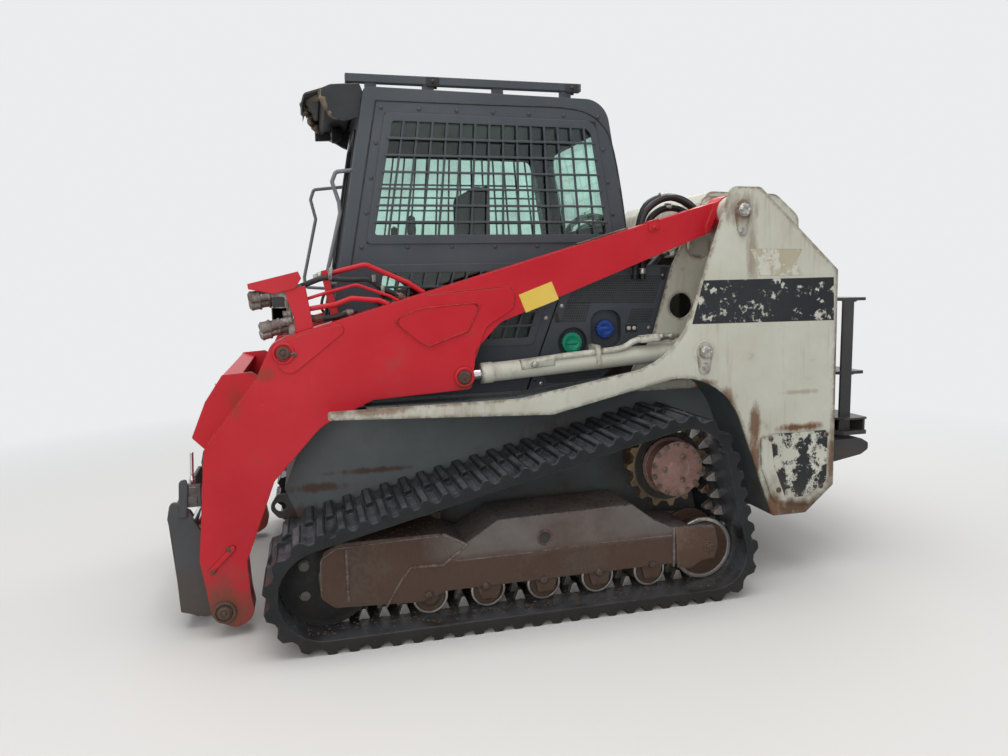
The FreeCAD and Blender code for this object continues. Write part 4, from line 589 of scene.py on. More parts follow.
def pipe(points, radius, fine=2, order=3):
    # a round tube on a NURBS line, closed at its ends
    curve = bpy.data.curves.new("line", "CURVE")
    curve.dimensions = "3D"
    line = curve.splines.new("NURBS")
    line.points.add(len(points) - 1)
    for spot, point in zip(line.points, points):
        spot.co = (*point, 1.0)
    line.order_u, line.resolution_u, line.use_endpoint_u = order, 6, True
    curve.bevel_depth, curve.bevel_resolution, curve.use_fill_caps = radius, fine, True
    holder = bpy.data.objects.new("line", curve)
    mesh = bpy.data.meshes.new_from_object(holder)
    shape = [tuple(v.co) for v in mesh.vertices], [tuple(f.vertices) for f in mesh.polygons]
    bpy.data.objects.remove(holder)
    bpy.data.curves.remove(curve)
    bpy.data.meshes.remove(mesh)
    return shape


def mirrored(shapes):
    return [([(c[0], -c[1], c[2]) for c in corners], [tuple(reversed(f)) for f in faces])
            for corners, faces in shapes]


def applied(piece):
    # the finished mesh in place of the modifiers
    mesh = bpy.data.meshes.new_from_object(
        piece.evaluated_get(bpy.context.evaluated_depsgraph_get()))
    piece.modifiers.clear()
    old, piece.data = piece.data, mesh
    bpy.data.meshes.remove(old)
    mesh.name = piece.name


def attach(piece, body, stands=None):
    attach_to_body(piece, body)
    if stands:
        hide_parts(stands)
    return piece


def finishPiece(name, shapes, finish, body="chassis", slot=None, soften=0.0, smooth=35.0,
                stands=None):
    shape = bmesh.new()
    for corners, faces in shapes:
        spots = [shape.verts.new(mm * Vector(c)) for c in corners]
        for face in faces:
            shape.faces.new([spots[i] for i in face])
        bmesh.ops.remove_doubles(shape, verts=spots, dist=1e-6)
    bmesh.ops.recalc_face_normals(shape, faces=shape.faces)
    if soften:
        sharp = [e for e in shape.edges if e.is_manifold and e.calc_face_angle() > 0.6]
        bmesh.ops.bevel(shape, geom=sharp, offset=mm * soften, segments=2, profile=0.6,
                        affect="EDGES", clamp_overlap=True)
    mesh = bpy.data.meshes.new(name)
    shape.to_mesh(mesh)
    shape.free()
    mesh.materials.append(finishes[finish])
    mesh.shade_smooth()
    mesh.set_sharp_from_angle(angle=math.radians(smooth))
    return attach(addObject(name, mesh), body, stands)


def bothSides(name, shapes, *rest, **more):
    return finishPiece(name, shapes + mirrored(shapes), *rest, **more)


# Geometry Nodes trees for what repeats

socketKinds = {float: "Float", int: "Int", tuple: "Vector"}


def newTree(name, **inputs):
    tree = bpy.data.node_groups.new(name, "GeometryNodeTree")
    for way in ("INPUT", "OUTPUT"):
        tree.interface.new_socket("Geometry", in_out=way, socket_type="NodeSocketGeometry")
    for label, value in inputs.items():
        made = tree.interface.new_socket(label, in_out="INPUT",
                                         socket_type="NodeSocket" + socketKinds[type(value)])
        made.default_value = value
    tree.interface.new_socket("Finish", in_out="INPUT", socket_type="NodeSocketMaterial")
    return tree, tree.nodes.new("NodeGroupInput").outputs, tree.nodes.new("NodeGroupOutput").inputs


def combine(tree, x, y, z):
    return addNode(tree, "ShaderNodeCombineXYZ", enumerate((x, y, z))).outputs[0]


def fieldAxes(tree, kind="GeometryNodeInputPosition"):
    return axesOf(tree, tree.nodes.new(kind).outputs[0])


def aligned(tree, label, axis, rotation=None):
    # turned so that an axis lies along a named attribute
    way = addNode(tree, "GeometryNodeInputNamedAttribute", {"Name": label},
                  data_type="FLOAT_VECTOR").outputs["Attribute"]
    return addNode(tree, "FunctionNodeAlignRotationToVector", {"Rotation": rotation, "Vector": way},
                   axis=axis, pivot_axis="Z" if axis == "X" else "AUTO").outputs[0]


def randomAt(tree, seed, low, high):
    made = addNode(tree, "FunctionNodeRandomValue", {"Seed": seed}, data_type="FLOAT")
    floats = [s for s in made.inputs if s.type == "VALUE"]
    floats[0].default_value, floats[1].default_value = low, high
    return [s for s in made.outputs if s.type == "VALUE"][0]


def moved(tree, shape, spot):
    return addNode(tree, "GeometryNodeSetPosition", {"Geometry": shape.outputs[0],
                                                     "Position": spot}).outputs[0]


def placed(tree, given, end, points, shape, rotation=None, scale=None, chosen=None):
    # instances on points, made real and given their finish
    put = addNode(tree, "GeometryNodeInstanceOnPoints", {
        "Points": points, "Instance": shape, "Rotation": rotation, "Scale": scale,
        "Selection": chosen})
    real = addNode(tree, "GeometryNodeRealizeInstances", {0: put.outputs[0]})
    paint = addNode(tree, "GeometryNodeSetMaterial", {"Geometry": real.outputs[0],
                                                      "Material": given["Finish"]})
    feed(tree, end[0], paint.outputs[0])
    return tree


def buildBolts():
    # a bolt head on its washer at each point, turned its own way
    tree, given, end = newTree("boltHeads", Head=0.009, Tall=0.008, Washer=0.014, Sides=6, Seed=3)
    parts = tree.nodes.new("GeometryNodeJoinGeometry")
    for sides, radius, tall, lift in (
            (12, "Washer", 0.003, 0.001),
            (given["Sides"], "Head", given["Tall"], times(tree, given["Tall"], 0.5))):
        disc = addNode(tree, "GeometryNodeMeshCylinder", {"Vertices": sides, "Depth": tall,
                                                          "Radius": given[radius]})
        raised = addNode(tree, "GeometryNodeTransform", {
            "Geometry": disc.outputs[0], "Translation": combine(tree, 0.0, 0.0, lift)})
        feed(tree, parts.inputs[0], raised.outputs[0])
    angle = combine(tree, 0.0, 0.0, randomAt(tree, given["Seed"], 0.0, 3.14))
    angle = addNode(tree, "FunctionNodeEulerToRotation", {0: angle}).outputs[0]
    spin = addNode(tree, "FunctionNodeRotateRotation", {0: aligned(tree, "facing", "Z"), 1: angle},
                   rotation_space="LOCAL")
    return placed(tree, given, end, given[0], parts.outputs[0], spin.outputs[0])


def buildWedges():
    # a block on each point, narrower at its top: guide teeth, track lugs, grip ribs
    tree, given, end = newTree("wedges", Base=0.03, Top=0.02, Tall=0.01, Wide=0.03)
    cube = addNode(tree, "GeometryNodeMeshCube", {"Size": (1.0, 1.0, 1.0)})
    x, y, z = fieldAxes(tree)
    up = math2(tree, "ADD", z, 0.5)
    span = times(tree, up, math2(tree, "SUBTRACT", given["Top"], given["Base"]))
    spot = combine(tree, times(tree, x, math2(tree, "ADD", span, given["Base"])),
                   times(tree, y, given["Wide"]), times(tree, up, given["Tall"]))
    turn = aligned(tree, "along", "X", aligned(tree, "facing", "Z"))
    return placed(tree, given, end, given[0], moved(tree, cube, spot), turn)


def buildWeld():
    # overlapping beads along a line
    tree, given, end = newTree("weldBeads", Bead=0.005, Pitch=0.005, Seed=5)
    line = addNode(tree, "GeometryNodeMeshToCurve", {0: given[0]})
    even = addNode(tree, "GeometryNodeResampleCurve", {"Curve": line.outputs[0],
                                                       "Length": given["Pitch"]}, mode="LENGTH")
    bead = addNode(tree, "GeometryNodeMeshIcoSphere", {"Subdivisions": 1, "Radius": given["Bead"]})
    return placed(tree, given, end, even.outputs[0], bead.outputs[0],
                  scale=randomAt(tree, given["Seed"], 0.85, 1.15))


def buildHoles():
    # rows of small black squares between four corners: painted shade where the holes are
    corners = {"Corner" + letter: (0.0, 0.0, 0.0) for letter in "ABCD"}
    tree, given, end = newTree("holeShadeSquares", **corners, Columns=10, Rows=10, Hole=0.008,
                               Deep=0.001)
    grid = addNode(tree, "GeometryNodeMeshGrid", {
        "Size X": 1.0, "Size Y": 1.0, "Vertices X": given["Columns"], "Vertices Y": given["Rows"]})

    def blended(share, first, second):
        return addNode(tree, "ShaderNodeMix", {0: share, 4: first, 5: second},
                       data_type="VECTOR").outputs[1]

    x, y, z = fieldAxes(tree)
    across, down = math2(tree, "ADD", x, 0.5), math2(tree, "ADD", y, 0.5)
    spot = blended(down, blended(across, given["CornerA"], given["CornerB"]),
                   blended(across, given["CornerD"], given["CornerC"]))
    cube = addNode(tree, "GeometryNodeMeshCube",
                   {"Size": combine(tree, given["Hole"], given["Deep"], given["Hole"])})
    return placed(tree, given, end, moved(tree, grid, spot), cube.outputs[0])


def buildClods():
    # lumps of dried soil on the faces that look up, between two heights and two side limits
    tree, given, end = newTree("soilClods", Density=300.0, Size=0.012, Low=0.0, High=1.0,
                               Inner=0.0, Outer=0.95, Seed=7)
    upward = fieldAxes(tree, "GeometryNodeInputNormal")["Z"]
    spread = addNode(tree, "GeometryNodeDistributePointsOnFaces", {
        "Mesh": given[0], "Density": given["Density"], "Seed": given["Seed"],
        "Selection": math2(tree, "GREATER_THAN", upward, 0.55)}).outputs
    x, y, z = fieldAxes(tree)
    chosen = 1.0
    for value, low, high in ((z, "Low", "High"), (math2(tree, "ABSOLUTE", y), "Inner", "Outer")):
        chosen = times(tree, chosen, math2(tree, "GREATER_THAN", value, given[low]),
                       math2(tree, "LESS_THAN", value, given[high]))
    lump = addNode(tree, "GeometryNodeMeshIcoSphere", {"Subdivisions": 1, "Radius": given["Size"]})
    wide = randomAt(tree, given["Seed"], 0.35, 1.0)
    scale = combine(tree, wide, times(tree, wide, 0.8), times(tree, wide, 0.45))
    return placed(tree, given, end, spread["Points"], lump.outputs[0], spread["Rotation"], scale,
                  chosen)


boltHeads = buildBolts()
wedges = buildWedges()
weldBeads = buildWeld()
holeShadeSquares = buildHoles()
soilClods = buildClods()


def runTree(name, tree, mesh, finish, body="chassis", **values):
    holder = addObject(name, mesh)
    change = holder.modifiers.new("build", "NODES")
    change.node_group = tree
    values["Finish"] = finishes[finish]
    for item in tree.interface.items_tree:
        if item.in_out == "INPUT" and item.name in values:
            change[item.identifier] = values[item.name]
    applied(holder)
    return attach(holder, body)


def spots(rows):
    # points with the way each faces and the way it lies
    mesh = bpy.data.meshes.new("spots")
    mesh.from_pydata([[mm * c for c in row[0]] for row in rows], [], [])
    for index, label in ((1, "facing"), (2, "along")):
        made = mesh.attributes.new(label, "FLOAT_VECTOR", "POINT")
        made.data.foreach_set("vector", [c for row in rows for c in row[index]])
    return mesh


def paths(lines):
    mesh = bpy.data.meshes.new("paths")
    corners, edges = [], []
    for line in lines:
        edges += [(len(corners) + i, len(corners) + i + 1) for i in range(len(line) - 1)]
        corners += [[mm * c for c in point] for point in line]
    mesh.from_pydata(corners, edges, [])
    return mesh


def flipped(row):
    return tuple((x, -y, z) for x, y, z in row)


def between(a, b, count):
    return [tuple(p + (q - p) * i / (count - 1) for p, q in zip(a, b)) for i in range(count)]


print("makers ready")


# weld beads where plates lie on each other: each line is its face's y and its (x, z) points

faceAt = {"cab": 500, "boom": 694, "patch": 705, "tower": 800, "cover": 806, "frame": 900}
welds = {
    "arm_weld_beads": {
        "finish": "redPaint", "body": "lift_arms", "bead": 0.0045, "pitch": 0.0055, "lines": [
            (faceAt["patch"] - 1, [
                (388, 1391), (606, 1376), (660, 1364), (725, 1337), (741, 1316), (640, 1230),
                (600, 1209), (444, 1262), (424, 1270), (370, 1378), (388, 1391)]),
            (faceAt["boom"], [
                (392, 1150), (362, 1228), (345, 1270), (326, 1293), (240, 1346), (215, 1364),
                (208, 1385), (206, 1425), (222, 1452), (260, 1460), (604, 1431)]),
            (faceAt["boom"], [(-775, 1815), (-735, 1720)]),
            (faceAt["boom"], [
                (907, 1336), (1205, 1258), (1237, 1232), (1236, 1190), (1222, 1120),
                (1180, 1087), (1140, 1105), (885, 1345), (907, 1336)])]},
    "frame_weld_beads": {
        "finish": "rubbedSteel", "body": "chassis", "bead": 0.0075, "pitch": 0.008, "lines": [
            (faceAt["frame"], [(595, 423), (494, 367), (599, 289), (737, 294), (777, 247),
                               (843, 138)]),
            (faceAt["frame"], [(1001, 398), (1001, 179)]),
            (faceAt["frame"], [(-479, 340), (-479, 160)])]},
}
for name, weld in welds.items():
    lines = [[(x, y, z) for x, z in line] for y, line in weld["lines"]]
    runTree(name, weldBeads, paths(lines + [flipped(line) for line in lines]), weld["finish"],
            weld["body"], Bead=weld["bead"], Pitch=weld["pitch"])


# track frame: folded edges, the grease hole with painted shade inside it, and the idler fork

frameHole = (145, 363)
bothSides("frame_edge_folds", [pipe([(x, 899, z) for x, z in line], 3.5, 1, 2) for line in (
    [(1041, 409), (606, 420), (559, 300), (266, 300), (-114, 309), (-468, 306)],
    [(1041, 409), (1105, 370), (1108, 215)])], "rubbedSteel")
bothSides("frame_hole_rims", [hoop([(0, 26), (0, 37), (3, 37), (6, 33), (4, 26)],
                                   (frameHole[0], 899, frameHole[1]), 28)], "rubbedSteel")
# the hole's inside: a black disc, painted shade where the hollow is dark
bothSides("frame_hole_painted_shade", [turned([(0, 27), (2, 27)], (frameHole[0], 898.5, frameHole[1]),
                                      sides=28)], "lampBody")
bothSides("fork_plates", [
    slab([(-486, 345), (-618, 332), (-690, 312), (-706, 238), (-686, 176), (-620, 172),
          (-567, 140), (-496, 150)], 899, 905),
    hoop([(0, 27), (4, 27), (6, 24), (6, 16)], (-655, 905, 238), 28),
    turned([(0, 17), (12, 17), (14, 14), (14, 6)], (-655, 904, 238), sides=6)], "forkSteel",
    soften=2)


# bolts, one tree for all, a run for each finish and body

boltLook = {"plain": {"Head": 0.0095, "Tall": 0.008, "Washer": 0.014},
            "small": {"Head": 0.0065, "Tall": 0.005, "Washer": 0.010},
            "round": {"Head": 0.020, "Tall": 0.012, "Washer": 0.026, "Sides": 14},
            "roller": {"Head": 0.014, "Tall": 0.007, "Washer": 0.02, "Sides": 12},
            "lock": {"Head": 0.015, "Tall": 0.012, "Washer": 0.021}}
hubCentre = (-501.0, 613.0)


def circle(centre, radius, count, turn=0.0):
    return [(centre[0] + radius * math.cos(turn + math.tau * i / count),
             centre[1] + radius * math.sin(turn + math.tau * i / count)) for i in range(count)]


windowCorners = [(856, 1646), (748, 2253), (-272, 2246), (-372, 1646)]
cabBolts = []
for first, count in enumerate((5, 7, 5, 7)):
    cabBolts += between(windowCorners[first], windowCorners[(first + 1) % 4], count)[:-1]
cabBolts += [(1000, 1010), (960, 1120), (60, 1010), (-80, 1520), (20, 1450)]
boltGroups = [
    ("cab_bolts", "small", "cabPaint", "chassis", faceAt["cab"], cabBolts),
    ("panel_bolts", "small", "platedSteel", "chassis", faceAt["cab"],
     [(-1, 1304), (28, 988), (-82, 1360), (-610, 1500), (-150, 1525), (-540, 1240)]),
    ("hub_bolts", "plain", "rustySteel", "chassis", 884,
     circle(hubCentre, 116, 14, 0.2) + circle(hubCentre, 62, 3)),
    ("frame_bolts", "roller", "frameSteel", "chassis", faceAt["frame"],
     [(665, 166), (415, 172), (150, 170), (-110, 172), (-369, 180)]),
    ("idler_bolts", "round", "castIron", "chassis", 853,
     [(1171, 334), (1172, 208), (1003, 334), (1003, 166)]),
    ("tower_lock_bolts", "lock", "platedSteel", "chassis", 808, [(-683, 1067), (-864, 1688)]),
    ("cover_bolts", "plain", "rustySteel", "chassis", faceAt["cover"],
     [(-1330, 440), (-1090, 440), (-1040, 700), (-1350, 700)]),
    ("arm_bolts", "plain", "rustySteel", "lift_arms", 706,
     [(1170, 1197), (1545, 300), (1474, 385)]),
]
for name, kind, finish, body, y, points in boltGroups:
    rows = [((x, y, z), (0, 1, 0), (1, 0, 0)) for x, z in points]
    runTree(name, boltHeads, spots(rows + [flipped(row) for row in rows]), finish, body,
            **boltLook[kind])


# wheels: hub covers and rubbed rims

bothSides("hub_covers", [turned(
    [(0, 126), (10, 128), (14, 126), (14, 60), (12, 57), (12, 40), (15, 36), (15, 12)],
    (hubCentre[0], 870, hubCentre[1]), sides=48)], "hubSteel", soften=1.2, smooth=25)
rims = [hoop([(0, 128), (0, 148), (7, 148), (10, 144), (10, 130)], (-655, 843, 210), 56)]
rims += [hoop([(0, 66), (0, 77), (5, 77), (7, 74), (7, 68)], (x, 853, 138), 36)
         for x in (653, 396, 139, -118, -375)]
bothSides("wheel_rims", rims, "guideSteel")


# pin heads: castellated nuts on the towers, domed caps and rings on the arm pins

towerNuts = []
for x, z in ((-864, 1788), (-679, 1137)):
    towerNuts.append(turned([(0, 31), (3, 31), (3, 27), (9, 27), (9, 22), (12, 22), (12, 9),
                             (6, 9)], (x, 822, z), sides=12))
    for cx, cz in circle((x, z), 21, 6):
        towerNuts.append(brick((cx - 4.5, 830, cz - 4.5), (cx + 4.5, 837, cz + 4.5)))
bothSides("tower_pin_nuts", towerNuts, "platedSteel", soften=0.8)
bothSides("arm_pin_caps", [
    turned([(-2, size), (4, size), (8, size - 5), (8, size - 10), (5, size - 12), (5, 9), (11, 9),
            (13, 6)], (x, y, z), sides=28)
    for x, y, z, size in ((446, 706, 1065, 30), (1509, 712, 113, 26), (1211, 714, 1204, 27))],
    "rustySteel", "lift_arms", soften=0.6)
bothSides("arm_pin_rings", [
    hoop([(0, size), (4, size), (7, size - 4), (7, size - 12), (0, size - 13)],
         (x, faceAt["patch"], z), 36) for x, z, size in ((1211, 1204, 47), (446, 1065, 46))],
    "redPaint", "lift_arms")
bothSides("coupler_pin_rings", [hoop([(0, 47), (5, 47), (7, 44), (7, 36)],
                                     (1509, faceAt["patch"], 113), 36)], "rustySteel", "lift_arms")


# blank stickers and worn colour bands: name, face, finish, body and outline

labels = [
    ("arm_sticker", "boom", "labelYellow", "lift_arms",
     [(187, 1422), (31, 1479), (-3, 1397), (155, 1341)]),
    ("tower_band", "tower", "bandBlack", "chassis",
     [(-670, 1469), (-1369, 1472), (-1378, 1264), (-614, 1269)]),
    ("tower_foil", "tower", "tanFoil", "chassis",
     [(-909, 1611), (-1189, 1608), (-1155, 1543), (-1207, 1483), (-964, 1486)]),
    ("cover_skin", "cover", "coverWorn", "chassis",
     [(-1040, 706), (-1052, 722), (-1345, 722), (-1360, 706), (-1360, 470), (-1300, 396),
      (-1130, 396), (-1062, 560)]),
]
for name, face, finish, body, outline in labels:
    bothSides(name, [slab(outline, faceAt[face] - 0.5, faceAt[face] + 0.6)], finish, body)


# cylinders: feed pipe, port block, fittings and a clamp on each barrel

barrelPipe = {"radius": 15.0, "out": 678.0,
              "line": [(150, 1112), (101, 1118), (15, 1133), (-129, 1143), (-308, 1157),
                       (-345, 1172), (-372, 1192), (-412, 1200)]}
liftPipe = [pipe([(x, barrelPipe["out"], z) for x, z in barrelPipe["line"]], barrelPipe["radius"]),
            slab([(181, 1125), (20, 1140), (15, 1096), (177, 1082)], 628, 690),
            slab([(-405, 1216), (-500, 1222), (-508, 1186), (-405, 1182)], 655, 700),
            slab([(-180, 1178), (-205, 1180), (-212, 1084), (-187, 1082)], 590, 694)]
liftFittings = [turned([(0, 15), (6, 15), (6, 19), (26, 19), (26, 14), (60, 14), (60, 17),
                        (80, 17), (80, 11), (110, 11)], (-500, 678, 1203), (-1, 0, 0.05), 12),
                turned([(0, 12), (20, 12), (20, 15), (34, 15), (34, 8), (38, 8)],
                       (120, 690, 1108), (0, 1, 0), 12)]
tiltPipe = [pipe([(1270, 535, 1125), (1300, 552, 1062), (1360, 552, 955), (1430, 548, 830),
                  (1478, 525, 742)], 9), brick((1262, 526, 1100), (1296, 548, 1136))]
for word, turn in (("left", list), ("right", mirrored)):
    for name, shapes, finish, body, soften in (
            ("lift_pipe_", liftPipe, "whitePaint", "lift_barrel_", 3),
            ("lift_fittings_", liftFittings, "platedSteel", "lift_barrel_", 0.8),
            ("tilt_pipe_", tiltPipe, "redPaint", "tilt_barrel_", 2)):
        finishPiece(name + word, turn(shapes), finish, body + word, soften=soften)


# auxiliary lines on the near arm

finishPiece("aux_hoses", [
    pipe([(1150, 622, 1470), (1100, 624, 1490), (1022, 626, 1519), (965, 624, 1506),
          (900, 622, 1504), (841, 622, 1508), (790, 622, 1466), (720, 618, 1432),
          (680, 610, 1412)], 12),
    pipe([(1150, 640, 1345), (1110, 648, 1352), (1040, 652, 1338), (960, 648, 1352),
          (900, 640, 1372)], 12)], "hoseRubber", "lift_arms")
auxFittings = [
    turned([(-2, 14), (10, 14), (10, 18), (26, 18), (26, 14), (44, 14)], place, axis, sides)
    for place, axis, sides in (
        ((1165, 622, 1466), (-1, 0, 0.35), 6), ((690, 611, 1417), (1, 0.1, 0.5), 12),
        ((1160, 640, 1344), (-1, 0, 0.1), 12), ((915, 642, 1367), (1, 0, -0.3), 12),
        ((1046, 650, 1341), (1, 0, 0), 12), ((1030, 600, 1524), (1, 0, -0.25), 12),
        ((1162, 654, 1370), (1, 0, -0.1), 12), ((1160, 636, 1412), (1, 0, -0.3), 12))]
auxFittings += [
    slab([(x - 8, z - 13), (x + 8, z - 15), (x + 8, z + 15), (x - 8, z + 17)], low, high)
    for x, z, low, high in ((999, 1540, 588, 614), (820, 1506, 606, 640), (1004, 1519, 612, 640),
                            (783, 1461, 606, 636))]
finishPiece("aux_fittings", auxFittings, "fittingSteel", "lift_arms", soften=1.2)
valve = [brick((1188, 586, 1342), (1250, 660, 1392)), brick((1196, 580, 1396), (1244, 666, 1436))]
valve += [turned([(0, 13), (34, 13), (34, 9), (44, 9)], (1215, y, 1436), (0, 0, 1), 12)
          for y in (606, 642)]
finishPiece("aux_valve", valve, "lampBody", "lift_arms", soften=2.5)
couplerRings = []
for start, aim in (((1205, 640, 1456), (150, 0, -22)), ((1205, 592, 1424), (150, 0, -22)),
                   ((1170, 650, 1341), (150, 0, -39)), ((1172, 598, 1310), (150, 0, -39))):
    way = Vector(aim).normalized()
    for step, radius in ((18, 23.0), (52, 25.5), (92, 26.5), (124, 25.5)):
        couplerRings.append(turned([(-4, radius - 3), (-3, radius), (6, radius), (7, radius - 3)],
                                   Vector(start) + way * step, way, 20))
finishPiece("coupler_collars", couplerRings, "fittingSteel", "lift_arms")
print("arms dressed")


# side panels: pierced fields as black squares of painted shade, caps with grip ribs, socket, latch

def holeField(name, corners, y, body="chassis", **sizes):
    places = {"Corner" + letter: (mm * x, mm * y, mm * z)
              for letter, (x, z) in zip("ABCD", corners)}
    # black lampBody squares stand in for the holes: painted shade
    runTree(name, holeShadeSquares, paths([]), "lampBody", body, **places, **sizes)


fields = [([(-165, 1500), (-605, 1492), (-560, 1366), (-116, 1378)], 40, 12),
          ([(-113, 1372), (-226, 1370), (-200, 1285), (-80, 1288)], 11, 8),
          ([(-449, 1334), (-559, 1331), (-538, 1270), (-429, 1273)], 10, 6),
          ([(11, 1030), (-330, 1052), (-232, 990), (-8, 995)], 30, 5)]
for number, (corners, columns, rows) in enumerate(fields):
    for y, word in ((faceAt["cab"], "left"), (-faceAt["cab"], "right")):
        holeField("panel_holes_%d_%s" % (number, word), corners, y, Columns=columns, Rows=rows,
                  Hole=0.0075, Deep=0.0010)
caps = {"green": {"centre": (-137, 1180), "radius": 48}, "blue": {"centre": (-310, 1241),
                                                                  "radius": 42}}
for colour, cap in caps.items():
    (x, z), radius = cap["centre"], cap["radius"]
    ribs = [((cx, 481, cz), tuple(Vector((cx - x, 0, cz - z)).normalized()), (0, 1, 0))
            for cx, cz in circle(cap["centre"], radius - 0.5, 18)]
    runTree(colour + "_cap_ribs", wedges, spots(ribs), "fillerCaps", Base=0.020, Top=0.016,
            Tall=0.004, Wide=0.007)
    finishPiece(colour + "_cap_top", [
        turned([(0, radius - 8), (2, radius - 8), (3.5, radius - 11), (1.5, radius - 14),
                (1.5, 4)], (x, 490.5, z), sides=36),
        slab([(x - 26, z - 7), (x + 26, z - 7), (x + 26, z + 7), (x - 26, z + 7)], 489, 496)],
        "fillerCaps", soften=1.2)
bothSides("panel_trim", [slab([(-412, 1221), (-470, 1223), (-473, 1263), (-414, 1261)], 499, 505),
                         slab([(-40, 1330), (-60, 1332), (-72, 1282), (-52, 1280)], 499, 504),
                         slab([(-600, 1540), (-640, 1539), (-622, 1475), (-600, 1476)], 499, 503)],
          "lampBody", soften=1.5)
bothSides("panel_plugs", [turned([(0, 10), (5, 10), (6, 8), (6, 3)], (x, 505, 1242), sides=16)
                          for x in (-428, -456)], "labelWhite")


# tracks: worn guide teeth, lugs and soil

belt = {"pitch": 86.0, "thick": 35.0, "middle": 765.0, "gap": 45.0, "lugOut": 112.5,
        "wheels": ((1087, 250, 190), (-501, 613, 205), (-655, 210, 150)),
        "tooth": {"Base": 0.048, "Top": 0.015, "Tall": 0.044, "Wide": 0.033},
        "lug": {"Base": 0.050, "Top": 0.036, "Tall": 0.025, "Wide": 0.221}}


def beltLine():
    # the belt's inner line as arcs and straight runs round its three wheels
    wheels, turns, runs = belt["wheels"], [], []
    for (ax, az, ar), (bx, bz, br) in zip(wheels, wheels[1:] + wheels[:1]):
        heading = math.atan2(bz - az, bx - ax)
        turns.append(heading - math.pi / 2 - math.asin((br - ar) / math.hypot(bx - ax, bz - az)))
    for i, (x, z, radius) in enumerate(wheels):
        enter, leave = turns[i - 1], turns[i]
        while leave < enter:
            leave += math.tau
        runs.append((radius * (leave - enter), (x, z, radius, enter)))
        nx, nz, nr = wheels[(i + 1) % 3]
        first = (x + radius * math.cos(leave), z + radius * math.sin(leave))
        last = (nx + nr * math.cos(leave), nz + nr * math.sin(leave))
        runs.append((math.dist(first, last), (first, last, leave)))
    return runs


def beltSpots(parts, chosen):
    # places along the belt, so many to a pitch, with the way out and the way along
    runs = beltLine()
    total = sum(length for length, run in runs)
    count = parts * round(total / belt["pitch"])
    found = []
    for i in range(count):
        if i % 4 != chosen:
            continue
        along = total * i / count
        for length, run in runs:
            if along <= length:
                break
            along -= length
        if len(run) == 4:
            angle = run[3] + along / run[2]
            x, z = run[0] + run[2] * math.cos(angle), run[1] + run[2] * math.sin(angle)
        else:
            first, last, angle = run
            x, z = (p + (q - p) * along / length for p, q in zip(first, last))
        found.append((i, Vector((x, 0, z)), Vector((math.cos(angle), 0, math.sin(angle))),
                      (-math.sin(angle), 0, math.cos(angle))))
    return found


teeth, lugs = [], []
for i, spot, out, along in beltSpots(4, 1):
    for y in (belt["middle"] - belt["gap"], belt["middle"] + belt["gap"]):
        teeth.append(((spot.x, y, spot.z), tuple(-out), along))
for i, spot, out, along in beltSpots(8, 3):
    foot = spot + out * (belt["thick"] - 1)
    y = belt["middle"] + (belt["lugOut"] if i % 8 == 7 else -belt["lugOut"])
    lugs.append(((foot.x, y, foot.z), tuple(out), along))
for word, side in (("left", 1), ("right", -1)):
    for name, rows, finish, sizes in (("guide_teeth_", teeth, "guideSteel", belt["tooth"]),
                                      ("track_lugs_", lugs, "lugRubber", belt["lug"])):
        rows = [((p[0], side * p[1], p[2]), facing, along) for p, facing, along in rows]
        runTree(name + word, wedges, spots(rows), finish, **sizes)


def surfaceCopy(name):
    # the node's own faces, merged, for soil to lie on
    shape = bmesh.new()
    shape.from_mesh(nodes[name].data)
    bmesh.ops.remove_doubles(shape, verts=shape.verts, dist=1e-5)
    mesh = bpy.data.meshes.new("soil")
    shape.to_mesh(mesh)
    shape.free()
    return mesh


# soil: a node, clods to a square metre, their size, the heights and the side limits
soil = [("track_frames", 900.0, 0.010, 0.25, 0.50, 0.62, 0.90),
        ("track_left", 1300.0, 0.010, 0.04, 0.30, 0.56, 0.95),
        ("track_right", 1300.0, 0.010, 0.04, 0.30, 0.56, 0.95),
        ("fenders", 500.0, 0.007, 0.9, 1.2, 0.50, 0.78),
        ("cab_floor", 300.0, 0.006, 0.9, 1.2, 0.0, 0.42)]
for name, *values in soil:
    runTree("soil_on_" + name, soilClods, surfaceCopy(name), "driedSoil",
            **dict(zip(("Density", "Size", "Low", "High", "Inner", "Outer"), values)))
print("tracks dressed")


# seat: two stuffed pads on a moulded shell, in the place of the plain one

seatLook = {"voxel": 0.009, "pressure": 4.0, "swell": 0.016, "frames": 20, "fill": 0.75,
            "pads": (("seat_cushion", (262, -228, 1312), (742, 228, 1398), 30),
                     ("seat_back", (214, -228, 1420), (292, 228, 1968), 26))}


def padMesh(low, high, corner):
    # a box with well rounded edges, to be blown up
    shape = bmesh.new()
    corners, faces = brick(low, high)
    made = [shape.verts.new(mm * Vector(c)) for c in corners]
    for face in faces:
        shape.faces.new([made[i] for i in face])
    bmesh.ops.recalc_face_normals(shape, faces=shape.faces)
    bmesh.ops.bevel(shape, geom=shape.edges[:], offset=mm * corner, segments=4, profile=0.5,
                    affect="EDGES", clamp_overlap=True)
    mesh = bpy.data.meshes.new("pad")
    shape.to_mesh(mesh)
    shape.free()
    return mesh


